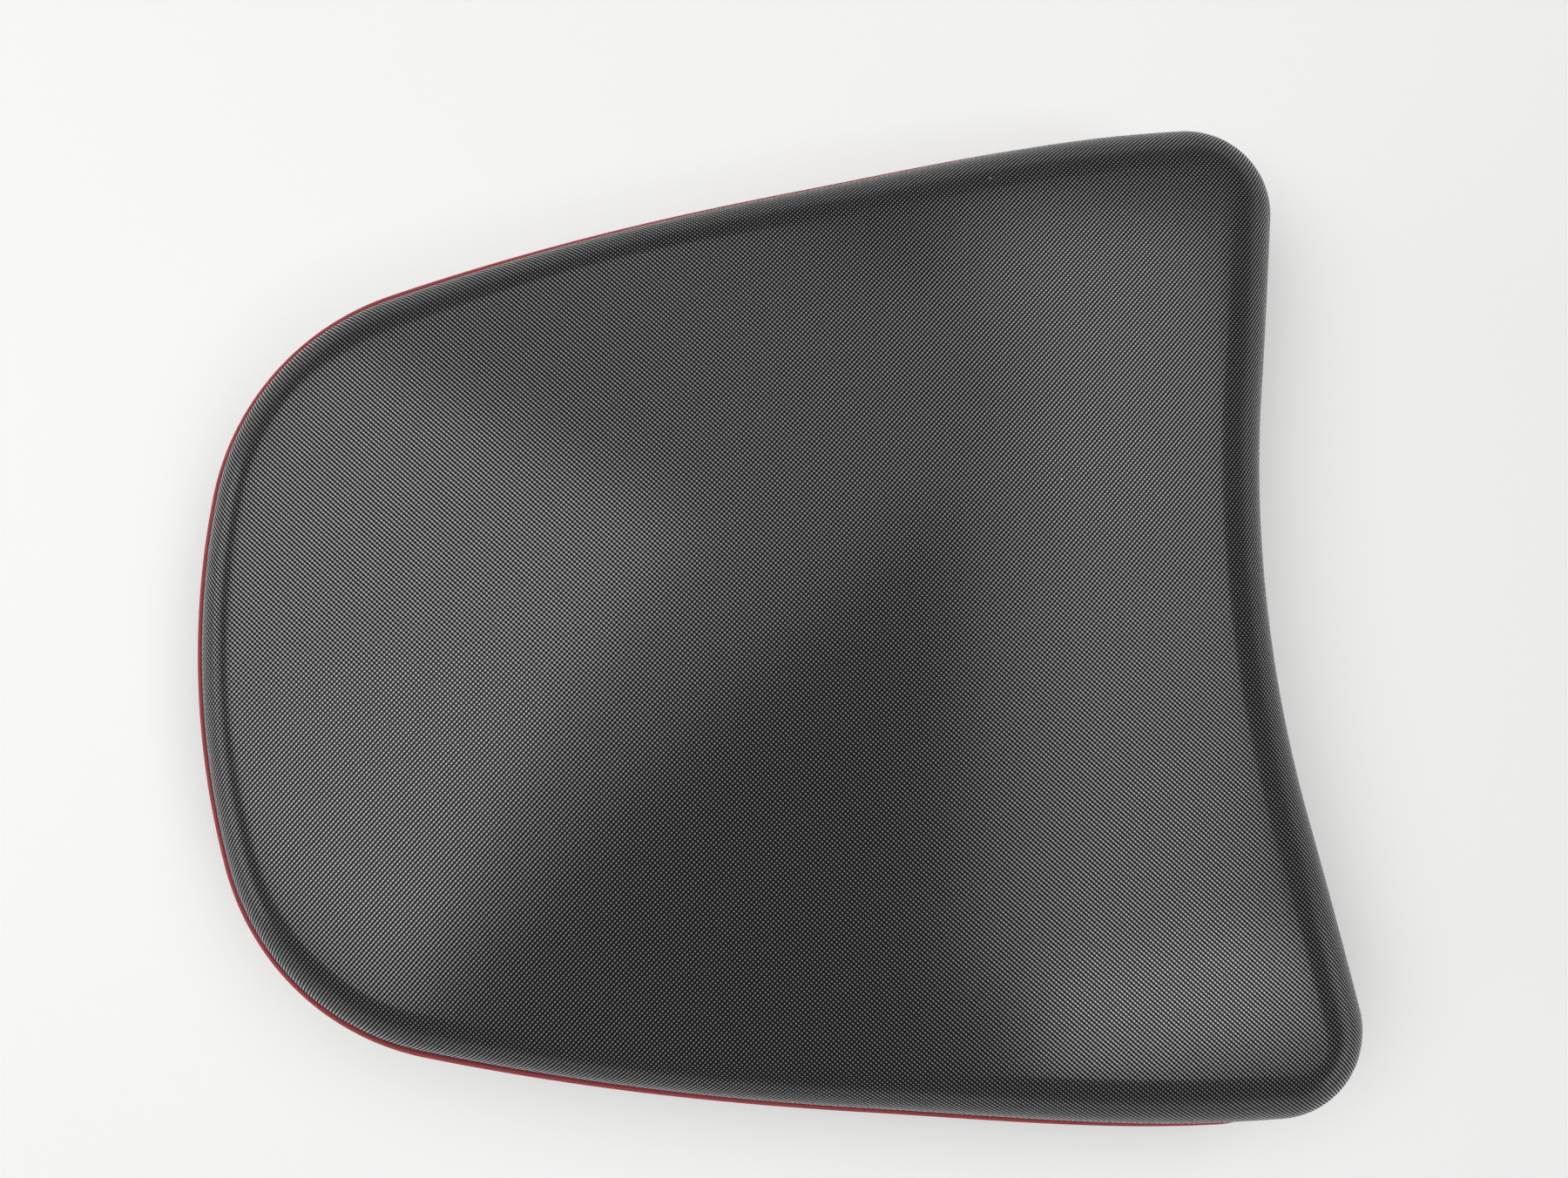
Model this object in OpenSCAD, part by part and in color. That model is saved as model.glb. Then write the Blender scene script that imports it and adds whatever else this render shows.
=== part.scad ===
// Pillion seat pad: a foam cushion on a moulded pan, under a two-panel cover with a welted seam.
// +X points to the hollow front edge, +Y to the left side, +Z up. The rubber feet stand on Z = 0.

/* [Outline from above] */
// Length over the tail welt and the front ears
seat_l = 330; // [300:1:360]
// Width over the front ears
seat_w = 300; // [275:1:330]
// Radius of the tail edge
tail_r = 250; // [200:5:300]
// Radius of the two tail corners
tail_corner_r = 76; // [60:1:85]
// Radius of the long sides
side_r = 1070; // [950:10:1600]
// Turn of the side where it meets the ear, in degrees
ear_turn = 2.7; // [2:0.1:5]
// Radius of the front ears
ear_r = 26.5; // [26:0.5:34]
// Radius of the hollow in the front edge
front_r = 315; // [240:5:400]
// Depth of the front hollow behind the ears
front_hollow = 18; // [10:0.5:20]

/* [Cushion form] */
// Height of the crown above the ground
seat_h = 68; // [62:0.5:78]
// Fall of the top from the middle to the sides
side_fall = 9; // [5:0.5:12]
// Fall of the top towards the tail
tail_fall = 8; // [4:0.5:12]
// Fall of the top towards the front edge
front_fall = 5; // [2:0.5:8]
// Radius of the rolled edge at the tail
roll_tail_r = 14; // [11:0.5:16]
// Radius of the rolled edge at the ears and the front
roll_front_r = 18; // [14:0.5:20]
// Distance that the cover is drawn in from the outline at the pan
draw_in = 8; // [7:0.5:11]

/* [Cover and welt] */
// Thickness of the cover sheet
cover_t = 1; // [0.8:0.1:1.2]
// Radius of the finished welt
welt_r = 2.2; // [1.8:0.1:2.6]
// Thickness of the welt's own cloth
welt_cloth_t = 0.5; // [0.4:0.05:0.6]
// Distance that the welt's centre stands out from the cover at the tail
welt_out_tail = 0.4; // [0.2:0.1:0.8]
// Distance that it stands out along the front half of the sides
welt_out_front = 1.3; // [0.4:0.1:1.3]
// Depth of the sewn seam allowance behind the welt
seam_lap = 4; // [3:0.5:5]
// Fall of the seam below the widest line at the tail
seam_fall_tail = 0.5; // [0:0.1:1.5]
// Extra fall of the seam along the front half of the sides
seam_fall_front = 3.2; // [2:0.1:6]
// Width of the hem that is stapled under the pan
hem_w = 11; // [9:0.5:12]

/* [Base pan] */
// Height of the pan's edge above the ground
edge_z = 8; // [7:0.5:10]
// Wall thickness of the pan
pan_t = 2.5; // [2:0.1:3]
// Thickness of the stapling ledge
ledge_t = 3; // [2.5:0.1:4]
// Width of the stapling ledge up to the riser
ledge_w = 12; // [12:0.5:13]
// Height of the pan's outer wall
wall_h = 12; // [10:0.5:14]
// Height of the raised floor's top above the pan's edge
floor_h = 20; // [19:0.5:24]
// Depth of the ribs under the raised floor
rib_h = 8; // [6:0.5:8]
// Thickness of the ribs
rib_t = 2; // [1.5:0.1:2.5]
// Spacing of the ribs
rib_pitch = 38; // [34:1:44]
// Radius of the air holes in the floor
vent_r = 4; // [3:0.5:5]

/* [Feet] */
// Radius of a foot at the ground
foot_r = 11; // [9:0.5:12]
// Radius of a foot's plug
plug_r = 6; // [5:0.25:7]
// Wall of the boss round a foot's plug
foot_boss_t = 3; // [2.5:0.25:4]
// Distance of the front feet behind the ears' front line
foot_front_end = 53; // [48:1:60]
// Distance of the front feet inside the widest line
foot_front_side = 62; // [56:1:70]
// Position of the middle feet along the seat, from its middle
foot_middle_x = 0; // [-20:1:20]
// Distance of the middle feet inside the widest line
foot_middle_side = 58; // [56:1:65]
// Distance of the tail feet from the tail edge
foot_tail_end = 61; // [55:1:68]
// Distance of the tail feet inside the widest line
foot_tail_side = 92; // [88:1:98]

/* [Latch striker] */
// Distance of the striker behind the ears' front line
striker_end = 95; // [86:1:105]
// Diameter of the striker rod
striker_d = 8; // [7:0.5:8]
// Width of the striker loop between its legs
striker_gap = 26; // [22:1:32]
// Bend radius inside the striker loop
striker_bend_r = 5; // [4:0.5:6]
// Height of the striker rod above the ground
striker_clear = 1.5; // [1:0.5:2]
// Length of the striker plate along the seat
striker_plate_l = 44; // [40:1:50]
// Width of the striker plate across the seat
striker_plate_w = 70; // [66:1:80]

/* [Tail tongue] */
// Width of the tongue
tongue_w = 32; // [28:1:40]
// Height of the tongue's blade above the ground
tongue_clear = 2.5; // [2:0.25:3]
// Distance of the tongue's tip from the tail edge
tongue_tip = 26; // [22:0.5:30]
// Distance of the tongue's step from the tail edge
tongue_step = 66; // [60:0.5:72]
// Length of the tongue's foot under the pan
tongue_foot_l = 34; // [30:1:40]
// Spacing of the two tongue screws
tongue_screws_w = 18; // [16:0.5:19]
// Thickness of the steel plate of the tongue and the striker
steel_t = 2.5; // [2:0.25:3]

/* [Fasteners] */
// Diameter of the screw threads
screw_d = 6; // [5:0.5:6]
// Length of the screws under the head
screw_l = 9; // [8:0.5:9.5]
// Radius of the screw flange
screw_flange_r = 6; // [5.5:0.25:6.5]
// Radius of the threaded inserts
insert_r = 4.2; // [3.9:0.1:4.5]
// Length of the threaded inserts
insert_l = 7; // [6:0.25:7]
// Wall of the boss round an insert
insert_boss_t = 2.6; // [2:0.1:3]
// Width of a staple's crown
staple_w = 10; // [8:0.5:12]
// Thickness of the staple wire
staple_t = 0.6; // [0.5:0.05:0.8]
// Depth of a staple's legs below the crown
staple_leg = 3.5; // [3:0.25:3.75]
// Spacing of the staples
staple_pitch = 20; // [16:1:26]

/* [Hidden] */
$fn = 48;

// Clearances
edge_gap = 0.4;   // between the welt and the panel edges
sew_gap = 0.1;    // between the sewn layers
slack_gap = 0.9;  // extra, between the foam and the cover where the welt dives
soft_gap = 0.3;   // between soft pieces and what carries them
knurl_gap = 0.05; // round a plug or an insert in its boss
thread_gap = 0.1; // round a screw's thread in its insert
screw_gap = 0.3;  // round a screw in its plate
tip_gap = 0.5;    // past the end of a screw
flange_gap = 2;   // between a screw's flange and the edge of its plate
cut = 1;          // run of a cutting shape past the face that it cuts
thin = 0.1;       // width that an allowance or a hem is trimmed to

// Run of the cover's shape along the seat, where -1 is the tail and 1 is the ears' front line
sink_start = 0.1;   // where the roll starts to bulge out over the welt
sink_length = 0.65;
stand_length = 1.6; // run over which the welt comes to stand further out
fall_length = 1.1;  // run over which the seam falls
widen_start = -0.35; // where the rolled edge starts to widen
widen_length = 1.2;
slack_start = 0.27; // where the foam starts to hang back
slack_length = 0.33;
side_power = 1.5;   // above 1, the sides are drawn in late
roll_early = 18;    // turn of the rolled edge that is left out where the seam is close under it, in degrees
roll_room = 10;     // depth under the roll that the full turn needs
lip_room = 1;       // least height of the foam's opening above the pan's wall
lap_room = 6;       // height above the pan's wall over which the allowance widens
dive_before = 15;   // length of the welt's fall to the pan before the ear starts
dive_after = 42;    // and after it

// Facets
side_steps = [4, 5, 6, 7, 3, 3]; // steps of tail, corner, side, ear, straight and hollow
welt_sides = 10;
cord_sides = 8;

// ---- Outline from above: points with their outward normals, from the tail round to the front ----

function unit(a) = [cos(a), sin(a)];
function clamp(v) = min(1, max(0, v));
function smooth(v) = let (c = clamp(v)) c * c * (3 - 2 * c);
function mix(a, b, f) = a + (b - a) * f;
function turn_of(v) = atan2(v[1], v[0]);
// The upper crossing of two circles
function crossing(c0, r0, c1, r1) =
    let (v = c1 - c0, s = norm(v), a = (r0 * r0 - r1 * r1 + s * s) / (2 * s), u = v / s,
        h = sqrt(max(0, r0 * r0 - a * a)), p = c0 + a * u + h * [-u[1], u[0]],
        q = c0 + a * u - h * [-u[1], u[0]])
    p[0] < q[0] ? p : q;

ear_c = [seat_l / 2 - ear_r, seat_w / 2 - ear_r];
side_c = ear_c + (side_r - ear_r) * [sin(ear_turn), -cos(ear_turn)];
tail_c = [tail_r - seat_l / 2, 0];
corner_c = crossing(tail_c, tail_r - tail_corner_r, side_c, side_r - tail_corner_r);
corner_a = turn_of(corner_c - tail_c);
side_a = turn_of(corner_c - side_c);
front_c = [seat_l / 2 - front_hollow + front_r, 0];
front_a = atan2(ear_c[1], front_c[0] - ear_c[0])
    - acos((ear_r + front_r) / norm(front_c - ear_c));

// One stretch of the outline without its last point: each entry is [x, y, nx, ny]
function bulge(c, r, a0, a1, n) =
    [for (i = [0:n - 1]) let (u = unit(mix(a0, a1, i / n)), p = c + r * u) [p[0], p[1], u[0], u[1]]];
function hollow(c, r, a0, a1, n) =
    [for (i = [0:n - 1]) let (u = unit(-mix(a0, a1, i / n)), p = c - r * u) [p[0], p[1], u[0], u[1]]];
function straight(p0, p1, u, n) =
    [for (i = [0:n - 1]) let (p = mix(p0, p1, i / n)) [p[0], p[1], u[0], u[1]]];

left_half = concat(
    bulge(tail_c, tail_r, 180, corner_a, side_steps[0]),
    bulge(corner_c, tail_corner_r, corner_a, side_a, side_steps[1]),
    bulge(side_c, side_r, side_a, 90 + ear_turn, side_steps[2]),
    bulge(ear_c, ear_r, 90 + ear_turn, -front_a, side_steps[3]),
    straight(ear_c + ear_r * unit(-front_a), front_c - front_r * unit(-front_a),
        unit(-front_a), side_steps[4]),
    hollow(front_c, front_r, front_a, 0, side_steps[5]));
half_n = len(left_half);
front_mid = front_c - [front_r, 0];
outline = concat(left_half, [[front_mid[0], 0, 1, 0]],
    [for (i = [half_n - 1:-1:1]) let (p = left_half[i]) [p[0], -p[1], p[2], -p[3]]]);
all_n = len(outline);

function at(i) = outline[(i + all_n) % all_n];
// Steps from the tail along the nearer side
function step_of(i) = let (k = (i + all_n) % all_n) min(k, all_n - k);
// The outline's point i moved inwards by d
function inset(i, d) = let (p = at(i)) [p[0] - d * p[2], p[1] - d * p[3]];

ear_start = side_steps[0] + side_steps[1] + side_steps[2];
welt_end = ear_start + 3;   // last step that the welt and the side band reach
// Run along the outline from the tail to each step
function runs(i, sum) = i > half_n ? []
    : let (here = i == 0 ? 0 : sum + norm([at(i)[0] - at(i - 1)[0], at(i)[1] - at(i - 1)[1]]))
        concat([here], runs(i + 1, here));
run_list = runs(0, 0);
// Share of the welt's fall to the pan, which starts before the ear and ends on it
function dive(i) = smooth((run_list[step_of(i)] - run_list[ear_start] + dive_before)
    / (dive_before + dive_after));

// ---- Form of the cover, in heights and insets at each step ----

hem_z = edge_z - cover_t;
wall_z = edge_z + wall_h;
floor_z = edge_z + floor_h;

function top_z(x, y) = seat_h - side_fall * pow(2 * y / seat_w, 2)
    - tail_fall * pow(clamp(-2 * x / seat_l), 3) - front_fall * pow(clamp(2 * x / seat_l), 3);
function along(i) = at(i)[0] / (seat_l / 2);
function roll_r(i) = mix(roll_tail_r, roll_front_r, smooth((along(i) - widen_start) / widen_length));
function welt_out(i) = mix(welt_out_tail, welt_out_front, smooth((along(i) + 1) / stand_length));
// The cover lies this far inside the outline along the welt
function proud(i) = (welt_r + welt_out(i)) * (1 - smooth((along(i) - sink_start) / sink_length));
function widest_z(i) = top_z(at(i)[0], at(i)[1]) - roll_r(i);
function seam_fall(i) = seam_fall_tail + seam_fall_front * smooth((along(i) + 1) / fall_length);
function seam_z(i) = mix(widest_z(i) - seam_fall(i), edge_z, dive(i));
function welted(i) = step_of(i) <= welt_end;
// Depth of the seam allowance, which is trimmed where the welt comes down over the pan's wall
function lap(i) = !welted(i) ? thin
    : max(thin, seam_lap * clamp((seam_z(i) - wall_z - lap_room) / lap_room));
// The welt stands further out there, because the wall is behind it
function welt_off(i) = mix(welt_out(i), welt_r - cover_t + sew_gap, 1 - clamp(lap(i) / seam_lap));

// Inset of the surface at height z, for a surface that lies o inside the cover's outer face
function skin(i, z, o) = let (r = roll_r(i), w = widest_z(i), h = z - w)
    z >= w ? proud(i) + r - sqrt(max(0, pow(r - o, 2) - h * h))
    : mix(proud(i), draw_in, pow(clamp(-h / (w - wall_z)), side_power)) + o;
function skin_point(i, z, o) = let (p = inset(i, skin(i, z, o))) [p[0], p[1], z];

// Rings of the cushion's top, from near the middle to the start of the rolled edge
function dome_ring(f, o) = [for (i = [0:all_n - 1])
    let (p = f * inset(i, proud(i) + roll_r(i))) [p[0], p[1], top_z(p[0], p[1]) - o]];
// Ring of the rolled edge, at share f of the way round the roll
function roll_end(i, edge) = 90 - roll_early * clamp(1 - (widest_z(i) - edge) / roll_room);
function roll_ring(f, o, edges) = [for (i = [0:all_n - 1])
    let (a = f * roll_end(i, edges[i]), r = roll_r(i),
        p = inset(i, proud(i) + r - (r - o) * sin(a)),
        q = inset(i, proud(i) + r))
    [p[0], p[1], mix(top_z(q[0], q[1]) - r, widest_z(i), f) + (r - o) * cos(a)]];
function roll_foot_z(i, edge) = widest_z(i) + roll_r(i) * cos(roll_end(i, edge));
function skin_ring(zs, o) = [for (i = [0:all_n - 1]) skin_point(i, zs[i], o)];
function flat_ring(d, z) = [for (i = [0:all_n - 1]) let (p = inset(i, d)) [p[0], p[1], z]];

dome_shares = [0.35, 0.7];
roll_shares = [0, 0.25, 0.5, 0.75, 1];

// Triangles between rings of n points. Quads from row back_row on are split the other way, so that
// faces which lie against each other are split alike.
function ring_faces(n, rows, back_row) = [for (k = [0:rows - 2], i = [0:n - 1], h = [0, 1])
    let (a = k * n + i, b = k * n + (i + 1) % n)
    k < back_row ? (h == 0 ? [a, b, a + n] : [b, b + n, a + n])
        : (h == 0 ? [a, b, b + n] : [a, b + n, a + n])];
// A closed solid from rings of equal length, each end closed by a fan to a point
module ringed(rings, first, last, back_row) {
    n = len(rings[0]);
    rows = len(rings);
    points = concat([for (r = rings) each r], [first, last]);
    polyhedron(points, concat([for (f = ring_faces(n, rows, back_row)) [f[2], f[1], f[0]]],
        [for (i = [0:n - 1]) [n * rows, i, (i + 1) % n]],
        [for (i = [0:n - 1]) let (b = (rows - 1) * n) [n * rows + 1, b + (i + 1) % n, b + i]]));
}
// A closed solid from equal sections placed one after another; cap holds a section's triangles
module swept(sections, cap) {
    m = len(sections[0]);
    last = (len(sections) - 1) * m;
    polyhedron([for (s = sections) each s], concat(ring_faces(m, len(sections), 0),
        [for (f = cap) [f[2], f[1], f[0]]], [for (f = cap) [f[0] + last, f[1] + last, f[2] + last]]));
}
function fan_cap(m) = [for (j = [1:m - 2]) [0, j, j + 1]];
// Triangles between two facing runs of an outline: 0 to n - 1, and back from m - 1 to n
function strip_cap(m) = let (n = m / 2) [for (j = [0:n - 2], h = [0, 1])
    let (a = j, b = j + 1, c = m - 2 - j, d = m - 1 - j) h == 0 ? [a, b, c] : [a, c, d]];

// A closed tube wall between equal outer and inner sections
module sleeve(outers, inners) {
    m = len(outers[0]);
    rows = len(outers);
    far = m * rows;
    polyhedron([for (s = concat(outers, inners)) each s], concat(ring_faces(m, rows, 0),
        [for (f = ring_faces(m, rows, 0)) [f[2] + far, f[1] + far, f[0] + far]],
        [for (j = [0:m - 1], h = [0, 1]) let (b = (j + 1) % m)
            h == 0 ? [b, j, j + far] : [b, j + far, b + far]],
        [for (j = [0:m - 1], h = [0, 1]) let (a = (rows - 1) * m + j, b = (rows - 1) * m + (j + 1) % m)
            h == 0 ? [a, b, a + far] : [b, b + far, a + far]]));
}

// ---- Cover, welt and foam ----

// Levels that the panels share with the foam: the seam's lips, and the cover half way to them
lip_h = welt_r + edge_gap + cover_t + soft_gap; // half height of the seam's opening in the foam
function foam_seam_z(i) = max(seam_z(i), wall_z + lip_h + lip_room);
function foam_lip(i, way) = foam_seam_z(i) + way * lip_h;
function lip_level(i) = max(wall_z + lip_room, welted(i) ? seam_z(i) + lip_h : 0);
function high_level(i) = mix(roll_foot_z(i, lip_level(i)), lip_level(i), 0.5);
function waist_level(i) = mix(wall_z, foam_lip(i, -1), 0.5);

// Half height of the welt where it meets the panel above it (way 1) or below it (way -1)
function welt_h(i, way) = let (z = seam_z(i), d = welt_off(i) - skin(i, z, 0)
    + skin(i, z + max(0, way) * welt_r, 0)) sqrt(welt_r * welt_r - pow(min(welt_r, max(0, d)), 2));
function top_edge(i) = welted(i) ? seam_z(i) + welt_h(i, 1) + edge_gap : hem_z;
function top_lap(i) = welted(i) ? lap(i)
    : step_of(i) == welt_end + 1 ? thin : hem_w;
function lip_z(i, edge, way) = let (f = clamp((lap(i) - thin) / (seam_lap - thin)))
    welted(i) ? mix(edge, seam_z(i) + way * (welt_cloth_t + sew_gap), f) : edge;

module cover_top_panel() {
    edges = [for (i = [0:all_n - 1]) top_edge(i)];
    lips = [for (i = [0:all_n - 1]) lip_level(i)];
    highs = [for (i = [0:all_n - 1]) high_level(i)];
    tips = [for (up = [0, cover_t]) [for (i = [0:all_n - 1])
        let (p = inset(i, skin(i, edges[i], cover_t) + top_lap(i)))
        [p[0], p[1], lip_z(i, edges[i], 1) + up]]];
    raised = [for (i = [0:all_n - 1]) edges[i] + cover_t];
    outer = concat([for (f = dome_shares) dome_ring(f, 0)],
        [for (f = roll_shares) roll_ring(f, 0, lips)],
        [skin_ring(highs, 0), skin_ring(lips, 0), skin_ring(edges, 0)]);
    inner = concat([skin_ring(raised, cover_t), skin_ring(lips, cover_t), skin_ring(highs, cover_t)],
        [for (k = [4:-1:0]) roll_ring(roll_shares[k], cover_t, lips)],
        [for (k = [1:-1:0]) dome_ring(dome_shares[k], cover_t)]);
    color([0.09, 0.09, 0.1])
        ringed(concat(outer, tips, inner), [0, 0, top_z(0, 0)], [0, 0, top_z(0, 0) - cover_t],
            len(outer));
}

// The band's section: outer face from the welt down, hem under the pan, inner face, seam allowance
function band_section(i) =
    let (top = seam_z(i) - welt_h(i, -1) - edge_gap, a = min(foam_lip(i, -1), top - cover_t - 2 * thin),
        b = min(waist_level(i), a - 2 * thin), low = min(wall_z, b - 2 * thin),
        outer = [for (z = [top, a, b, low]) [z, 0, 0]],
        inner = [for (z = [low, b, a, top - cover_t]) [z, cover_t, 0]],
        lip = lip_z(i, top, -1))
    [for (s = concat([[lip, cover_t, lap(i)]], outer, [[hem_z, 0, 0], [hem_z, cover_t, hem_w],
        [edge_z, cover_t, hem_w], [edge_z, cover_t, 0]], inner, [[lip - cover_t, cover_t, lap(i)]]))
        let (p = inset(i, skin(i, s[0], s[1]) + s[2])) [p[0], p[1], s[0]]];

module cover_side_band() {
    color([0.12, 0.12, 0.13]) swept([for (i = [-welt_end:welt_end]) band_section(i)],
        strip_cap(len(band_section(0))));
}

// The point at step i that lies d further in than the welt's middle and up above it
function welt_at(i, d, up) = let (z = seam_z(i), p = inset(i, skin(i, z, 0) - welt_off(i) + d))
    [p[0], p[1], z + up];
function welt_loop(i, r, n) = [for (k = [0:n - 1]) let (a = 360 * k / n)
    welt_at(i, -r * cos(a), -r * sin(a))];
// The sleeve's outer loop: round the cord, then the two sewn layers of cloth behind the panels
function sleeve_loop(i) =
    let (a0 = asin(welt_cloth_t / welt_r), reach = max(welt_r + thin, welt_off(i) + cover_t + lap(i)))
    concat([for (k = [0:welt_sides]) let (a = mix(180 - a0, a0 - 180, k / welt_sides))
        welt_at(i, -welt_r * cos(a), welt_r * sin(a))],
        [welt_at(i, reach, -welt_cloth_t), welt_at(i, reach, welt_cloth_t)]);
function bore_loop(i) = let (r = welt_r - welt_cloth_t, n = welt_sides + 3)
    [for (k = [0:n - 1]) let (a = mix(180, -180, (k + 0.5) / n)) welt_at(i, -r * cos(a), r * sin(a))];

module seam_piping() {
    color([0.6, 0.05, 0.09]) sleeve([for (i = [-welt_end:welt_end]) sleeve_loop(i)],
        [for (i = [-welt_end:welt_end]) bore_loop(i)]);
}

module piping_cord() {
    color([0.85, 0.84, 0.8])
        swept([for (i = [-welt_end:welt_end])
            welt_loop(i, welt_r - welt_cloth_t - sew_gap, cord_sides)], fan_cap(cord_sides));
}

// The foam keeps a groove for the seam allowances, and steps up over the pan's raised floor
foam_in = cover_t + soft_gap;
function groove(i) = lap(i) + 2 * sew_gap;
// Towards the front, where the welt comes down, the foam's sides hang back a little further
function foam_side(i) = foam_in + slack_gap * smooth((along(i) - slack_start) / slack_length);
function foam_ring(zs) = [for (i = [0:all_n - 1]) skin_point(i, zs[i], foam_side(i))];
function foam_slot(i, way) = foam_seam_z(i) + way * (welt_cloth_t + sew_gap + cover_t + soft_gap);
function slot_ring(way) = [for (i = [0:all_n - 1])
    let (z = foam_slot(i, way), p = inset(i, skin(i, z, foam_side(i)) + groove(i))) [p[0], p[1], z]];

module foam_cushion() {
    rest_z = floor_z + soft_gap;
    ledge_rest = wall_z + soft_gap;
    riser = draw_in + foam_in + ledge_w - soft_gap;
    upper = [for (i = [0:all_n - 1]) foam_lip(i, 1)];
    lower = [for (i = [0:all_n - 1]) foam_lip(i, -1)];
    highs = [for (i = [0:all_n - 1]) high_level(i)];
    waist = [for (i = [0:all_n - 1]) waist_level(i)];
    lips = [for (i = [0:all_n - 1]) lip_level(i)];
    rings = concat([for (f = dome_shares) dome_ring(f, foam_in)],
        [for (f = roll_shares) roll_ring(f, foam_in, lips)],
        [foam_ring(highs), foam_ring(upper), slot_ring(1), slot_ring(-1), foam_ring(lower),
            foam_ring(waist), flat_ring(draw_in + foam_in + slack_gap, ledge_rest),
            flat_ring(riser, ledge_rest), flat_ring(riser, rest_z)]);
    color([0.86, 0.8, 0.55]) ringed(rings, [0, 0, top_z(0, 0) - foam_in], [0, 0, rest_z], len(rings));
}

// ---- Base pan ----

pan_in = draw_in + foam_in;         // inset of the pan's outer face
riser_in = pan_in + ledge_w;        // inset of the riser's outer face
pan_open = riser_in + pan_t;        // inset of the hollow under the raised floor
floor_under = floor_z - pan_t;      // underside of the raised floor
seat_z = floor_under - rib_h;       // level of the rib edges and the boss faces
insert_room = rib_h + tip_gap;      // depth of an insert's hole, past the end of its screw

feet = [[seat_l / 2 - foot_front_end, seat_w / 2 - foot_front_side],
    [foot_middle_x, seat_w / 2 - foot_middle_side],
    [foot_tail_end - seat_l / 2, seat_w / 2 - foot_tail_side]];
screw_edge = screw_flange_r + flange_gap; // from a screw's middle to the edge of its plate
striker_x = seat_l / 2 - striker_end;
striker_hole = [striker_plate_l / 2 - screw_edge, striker_plate_w / 2 - screw_edge];
vent_cells = [[-1.5, 1], [-1.5, -1], [-0.5, 1], [-0.5, -1]]; // cells between ribs that have an air hole

bend_in = 0.8 * steel_t;            // radius inside a bend of the tongue
bend_out = bend_in + steel_t;
step_x = tongue_step - seat_l / 2;  // tail face of the tongue's step
tip_x = tongue_tip - seat_l / 2;
tongue_hole_x = step_x + bend_out + screw_edge;

module outline_plate(d, z0, z1) {
    translate([0, 0, z0]) linear_extrude(z1 - z0)
        polygon([for (i = [0:all_n - 1]) inset(i, d)]);
}
module at_feet() {
    for (p = feet, side = [1, -1]) translate([p[0], side * p[1], 0]) children();
}
module at_striker_screws() {
    for (u = [1, -1], v = [1, -1])
        translate([striker_x + u * striker_hole[0], v * striker_hole[1], 0]) children();
}
module at_tongue_screws() {
    for (v = [1, -1]) translate([tongue_hole_x, v * tongue_screws_w / 2, 0]) children();
}
module at_vents() {
    for (cell = vent_cells) translate([cell[0] * rib_pitch, cell[1] * rib_pitch, 0]) children();
}

module boss(r) {
    translate([0, 0, seat_z]) cylinder(r = r, h = floor_z - pan_t / 2 - seat_z);
}
// A grid of ribs over the whole outline, to be cut to the hollow under the floor
module ribs() {
    reach = floor(seat_l / 2 / rib_pitch) + 1;
    for (k = [-reach:reach]) {
        translate([k * rib_pitch - rib_t / 2, -seat_w, seat_z])
            cube([rib_t, 2 * seat_w, rib_h + pan_t / 2]);
        translate([-seat_l, (k + 0.5) * rib_pitch - rib_t / 2, seat_z])
            cube([2 * seat_l, rib_t, rib_h + pan_t / 2]);
    }
}
// A hole up into the boss faces
module boss_hole(r, depth) {
    translate([0, 0, seat_z - cut]) cylinder(r = r, h = depth + cut);
}

module base_pan() {
    color([0.07, 0.07, 0.075]) difference() {
        union() {
            outline_plate(pan_in, edge_z, edge_z + ledge_t);
            outline_plate(riser_in, edge_z, floor_z);
            difference() {
                outline_plate(pan_in, edge_z, wall_z);
                outline_plate(pan_in + pan_t, edge_z - cut, wall_z + cut);
            }
        }
        difference() {
            outline_plate(pan_open, edge_z - cut, floor_under);
            intersection() {
                outline_plate(pan_open - pan_t / 2, seat_z, floor_under + pan_t / 2);
                union() {
                    ribs();
                    at_feet() boss(plug_r + foot_boss_t);
                    at_striker_screws() boss(insert_r + insert_boss_t);
                    at_tongue_screws() boss(insert_r + insert_boss_t);
                }
            }
        }
        at_feet() boss_hole(plug_r + knurl_gap, rib_h);
        at_striker_screws() boss_hole(insert_r + knurl_gap, insert_room);
        at_tongue_screws() boss_hole(insert_r + knurl_gap, insert_room);
        at_vents() translate([0, 0, floor_under - cut]) cylinder(r = vent_r, h = pan_t + 2 * cut);
    }
}

// ---- Feet ----

// A rubber foot: a waisted buffer with a ribbed plug that is pressed into its boss
foot_waist = 1.5;    // depth of the waist
foot_rim_h = 3.5;    // height of the full rim at the ground
foot_bevel = 1;      // at the rim, and at the shoulder under the pan
plug_groove = 0.7;   // depth of the grooves between the plug's ribs

module foot() {
    plug_h = rib_h - soft_gap;
    waist_r = foot_r - foot_waist;
    groove_r = plug_r - plug_groove;
    rib_pace = 0.4 * plug_h; // of the plug's two ribs; its nose takes the rest
    rotate_extrude() polygon(concat(
        [[0, 0], [foot_r - foot_bevel, 0], [foot_r, foot_bevel], [foot_r, foot_rim_h],
            [waist_r, foot_rim_h + 2 * foot_bevel], [waist_r, seat_z - foot_bevel],
            [waist_r - foot_bevel, seat_z]],
        [for (rib = [0:1], at = [0, 2, 3, 5])
            [at < 3 ? plug_r : groove_r, seat_z + (rib + at / 5) * rib_pace]],
        [[groove_r, seat_z + plug_h - foot_bevel], [groove_r - foot_bevel, seat_z + plug_h],
            [0, seat_z + plug_h]]));
}
module foot_at(n, side) {
    color([0.13, 0.13, 0.13]) translate([feet[n][0], side * feet[n][1], 0]) foot();
}
module foot_front_left() { foot_at(0, 1); }
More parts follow.
